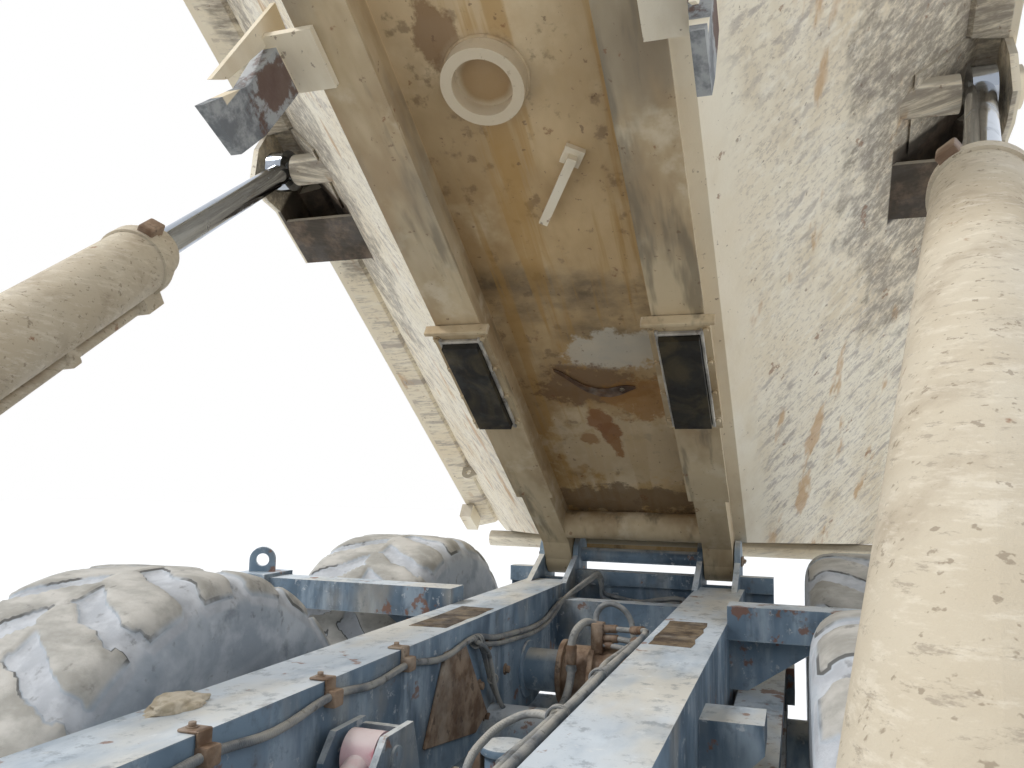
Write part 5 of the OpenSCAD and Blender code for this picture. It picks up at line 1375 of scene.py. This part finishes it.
def dash_dials():
    """Round dials and switches on the dash's sloping face, and two pedals under it."""
    parts = []
    for y, radius in ((-0.19, 0.052), (-0.33, 0.036), (0.19, 0.052), (0.33, 0.036)):
        parts.append(ring("bezel", (0, y, 0.003), (0, 0, 1), radius, 0.006, 40, 8))
        parts.append(bar("face", (0, y, -0.002), (0, y, 0.003), radius, 40))
        parts.append(bar("needle", (0, y, 0.005), (radius * 0.55, y + radius * 0.5, 0.005), 0.0018, 6))
    for k in range(5):
        for hand in (-1, 1):
            y = hand * (0.42 + 0.040 * k)
            parts.append(edged("switch", (-0.025, y - 0.014, -0.002), (0.025, y + 0.014, 0.008), 0.003, 2))
    dials = joined("dash_dials", parts)
    moved_mesh(dials.data,
               facing((6.505, 0, 2.350), (-0.673, 0, 0.740)) @ Matrix.Rotation(math.pi / 2, 4, "Z"))
    settle(dials, ON_TRUCK, "front_frame", DASH_PLASTIC)
    pads = []
    for y in (-0.17, 0.10):
        pads.append(bar("stalk", (6.40, y, 1.90), (6.475, y, 1.97), 0.010, 10))
        pad = edged("pad", (-0.008, -0.045, -0.07), (0.008, 0.045, 0.07), 0.004, 2)
        moved_mesh(pad.data,
                   Matrix.Translation((6.395, y, 1.90)) @ Matrix.Rotation(math.radians(-30), 4, "Y"))
        pads.append(pad)
    settle(joined("pedals", pads), ON_TRUCK, "front_frame", DULL_BLACK)


# Driver's seat: a soft cushion and back on a rigid base


def puffed(piece, pressure, cap):
    """Inflates a cushion with a cloth simulation, no point moving further than the cap."""
    pick(piece)
    piece.data.remesh_voxel_size = 0.008
    bpy.ops.object.voxel_remesh()
    start = [v.co.copy() for v in piece.data.vertices]
    cloth = piece.modifiers.new("stuffing", "CLOTH")
    cloth.settings.use_pressure = True
    cloth.settings.uniform_pressure_force = pressure
    cloth.settings.effector_weights.gravity = 0
    for step in range(1, 21):
        scene.frame_set(step)
    graph = bpy.context.evaluated_depsgraph_get()
    shape = [v.co.copy() for v in piece.evaluated_get(graph).data.vertices]
    piece.modifiers.remove(cloth)
    scene.frame_set(1)
    for vertex, old, new in zip(piece.data.vertices, start, shape):
        step = new - old
        vertex.co = old + step * min(1.0, cap / max(step.length, 1e-6))
    return piece


def channels(piece, axis, places, depth, width):
    """Sewn channels: the skin is drawn in along lines across the cushion."""
    outward = [vertex.normal.copy() for vertex in piece.data.vertices]
    for vertex, normal in zip(piece.data.vertices, outward):
        along = vertex.co["xyz".index(axis)]
        for line in places:
            gap = abs(along - line)
            if gap < width:
                vertex.co -= normal * depth * (1 + math.cos(math.pi * gap / width)) / 2


def seat_pad(name, low, high, place, channel_axis, channel_places):
    pad = edged(name, low, high, 0.045, 4)
    puffed(pad, 4, 0.022)
    pick(pad)
    smooth = pad.modifiers.new("smooth", "SUBSURF")
    smooth.levels = 1
    smooth.render_levels = 1
    bpy.ops.object.modifier_apply(modifier=smooth.name)
    channels(pad, channel_axis, channel_places, 0.012, 0.016)
    settle(pad, place, "front_frame", SEAT_WEAVE, 80)
    return pad


SEAT_H = 5.75
CAB_FLOOR = 1.765


def driver_seat():
    seat_pad("seat_cushion", (-0.05, -0.225, 2.072), (0.41, 0.225, 2.162),
             ON_TRUCK @ Matrix.Translation((SEAT_H, 0, 0)), "x", (0.08, 0.20, 0.32))
    lean = Matrix.Translation((SEAT_H - 0.01, 0, 2.19)) @ Matrix.Rotation(math.radians(-9), 4, "Y")
    seat_pad("seat_back", (-0.033, -0.215, 0.03), (0.038, 0.215, 0.65), ON_TRUCK @ lean, "z",
             (0.16, 0.30, 0.44))
    parts = [edged("base", (SEAT_H - 0.05, -0.19, CAB_FLOOR + 0.001),
                   (SEAT_H + 0.36, 0.19, CAB_FLOOR + 0.05), 0.01)]
    for k in range(5):
        z = CAB_FLOOR + 0.05 + 0.034 * k
        fold = edged("fold", (SEAT_H - 0.01, -0.16, z), (SEAT_H + 0.32, 0.16, z + 0.03), 0.012, 3)
        parts.append(fold)
    parts.append(edged("pan", (SEAT_H - 0.06, -0.22, 1.995), (SEAT_H + 0.41, 0.22, 2.052), 0.012, 2))
    base = joined("seat_base", parts)
    settle(base, ON_TRUCK, "front_frame", DASH_PLASTIC)
    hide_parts("driver_seat")


# Camera, light and floor


def set_camera():
    """The photograph's camera, solved from the straight edges in it."""
    camera = bpy.data.objects.new("yard_camera", bpy.data.cameras.new("yard_camera"))
    scene.collection.objects.link(camera)
    camera.location = (0.4801, 0.7369, 1.8459)
    camera.rotation_euler = [math.radians(a) for a in (96.4946, -1.0344, 108.6274)]
    camera.data.sensor_width = 36
    camera.data.lens = 29.727
    camera.data.clip_start = 0.02
    camera.data.clip_end = 200
    scene.camera = camera


def set_light():
    """Even light from a pale sky that shows white behind the truck, and a soft sun from the left."""
    world = bpy.data.worlds.new("soft_sky")
    scene.world = world
    world.use_nodes = True
    tree = world.node_tree
    light = tree.nodes["Background"]
    light.inputs["Color"].default_value = (0.88, 0.93, 1.0, 1)
    light.inputs["Strength"].default_value = 1.04
    seen = tree.nodes.new("ShaderNodeBackground")
    seen.inputs["Color"].default_value = (1, 1, 1, 1)
    ray = tree.nodes.new("ShaderNodeLightPath")
    choose = tree.nodes.new("ShaderNodeMixShader")
    tree.links.new(ray.outputs["Is Camera Ray"], choose.inputs[0])
    tree.links.new(light.outputs[0], choose.inputs[1])
    tree.links.new(seen.outputs[0], choose.inputs[2])
    tree.links.new(choose.outputs[0], tree.nodes["World Output"].inputs["Surface"])
    sun = bpy.data.objects.new("soft_sun", bpy.data.lights.new("soft_sun", "SUN"))
    sun.data.energy = 1.9
    sun.data.angle = math.radians(16)
    sun.rotation_euler = Vector((0.35, -0.62, 0.80)).to_track_quat("Z", "Y").to_euler()
    scene.collection.objects.link(sun)


def set_floor():
    bpy.ops.mesh.primitive_plane_add(size=90)
    floor = bpy.context.object
    floor.name = "floor"
    paint = new_material("pale_floor")
    mottled = patches(paint, coords(paint), 3, 0.4, 0.6, 2)
    colour(paint, over(paint, (0.80, 0.79, 0.77), (0.83, 0.82, 0.80), mottled))
    shader(paint).inputs["Roughness"].default_value = 0.9
    floor.data.materials.append(paint)


set_camera()
set_light()
dress_nodes()
tyres()
hub_details()
frame_hoses()
hose_ferrules()
hose_clips()
bay_fittings()
mud_clump()
rail_wear()
frame_bolts()
axle_bolts()
pad_frames()
floor_scars()
hinge_details()
hoist_details()
lamp_glasses()
window_seals()
wipers()
mirror_glasses()
stack_guard()
hood_latches()
step_grips()
dash_dials()
driver_seat()
set_floor()
scene.view_settings.view_transform = "Standard"
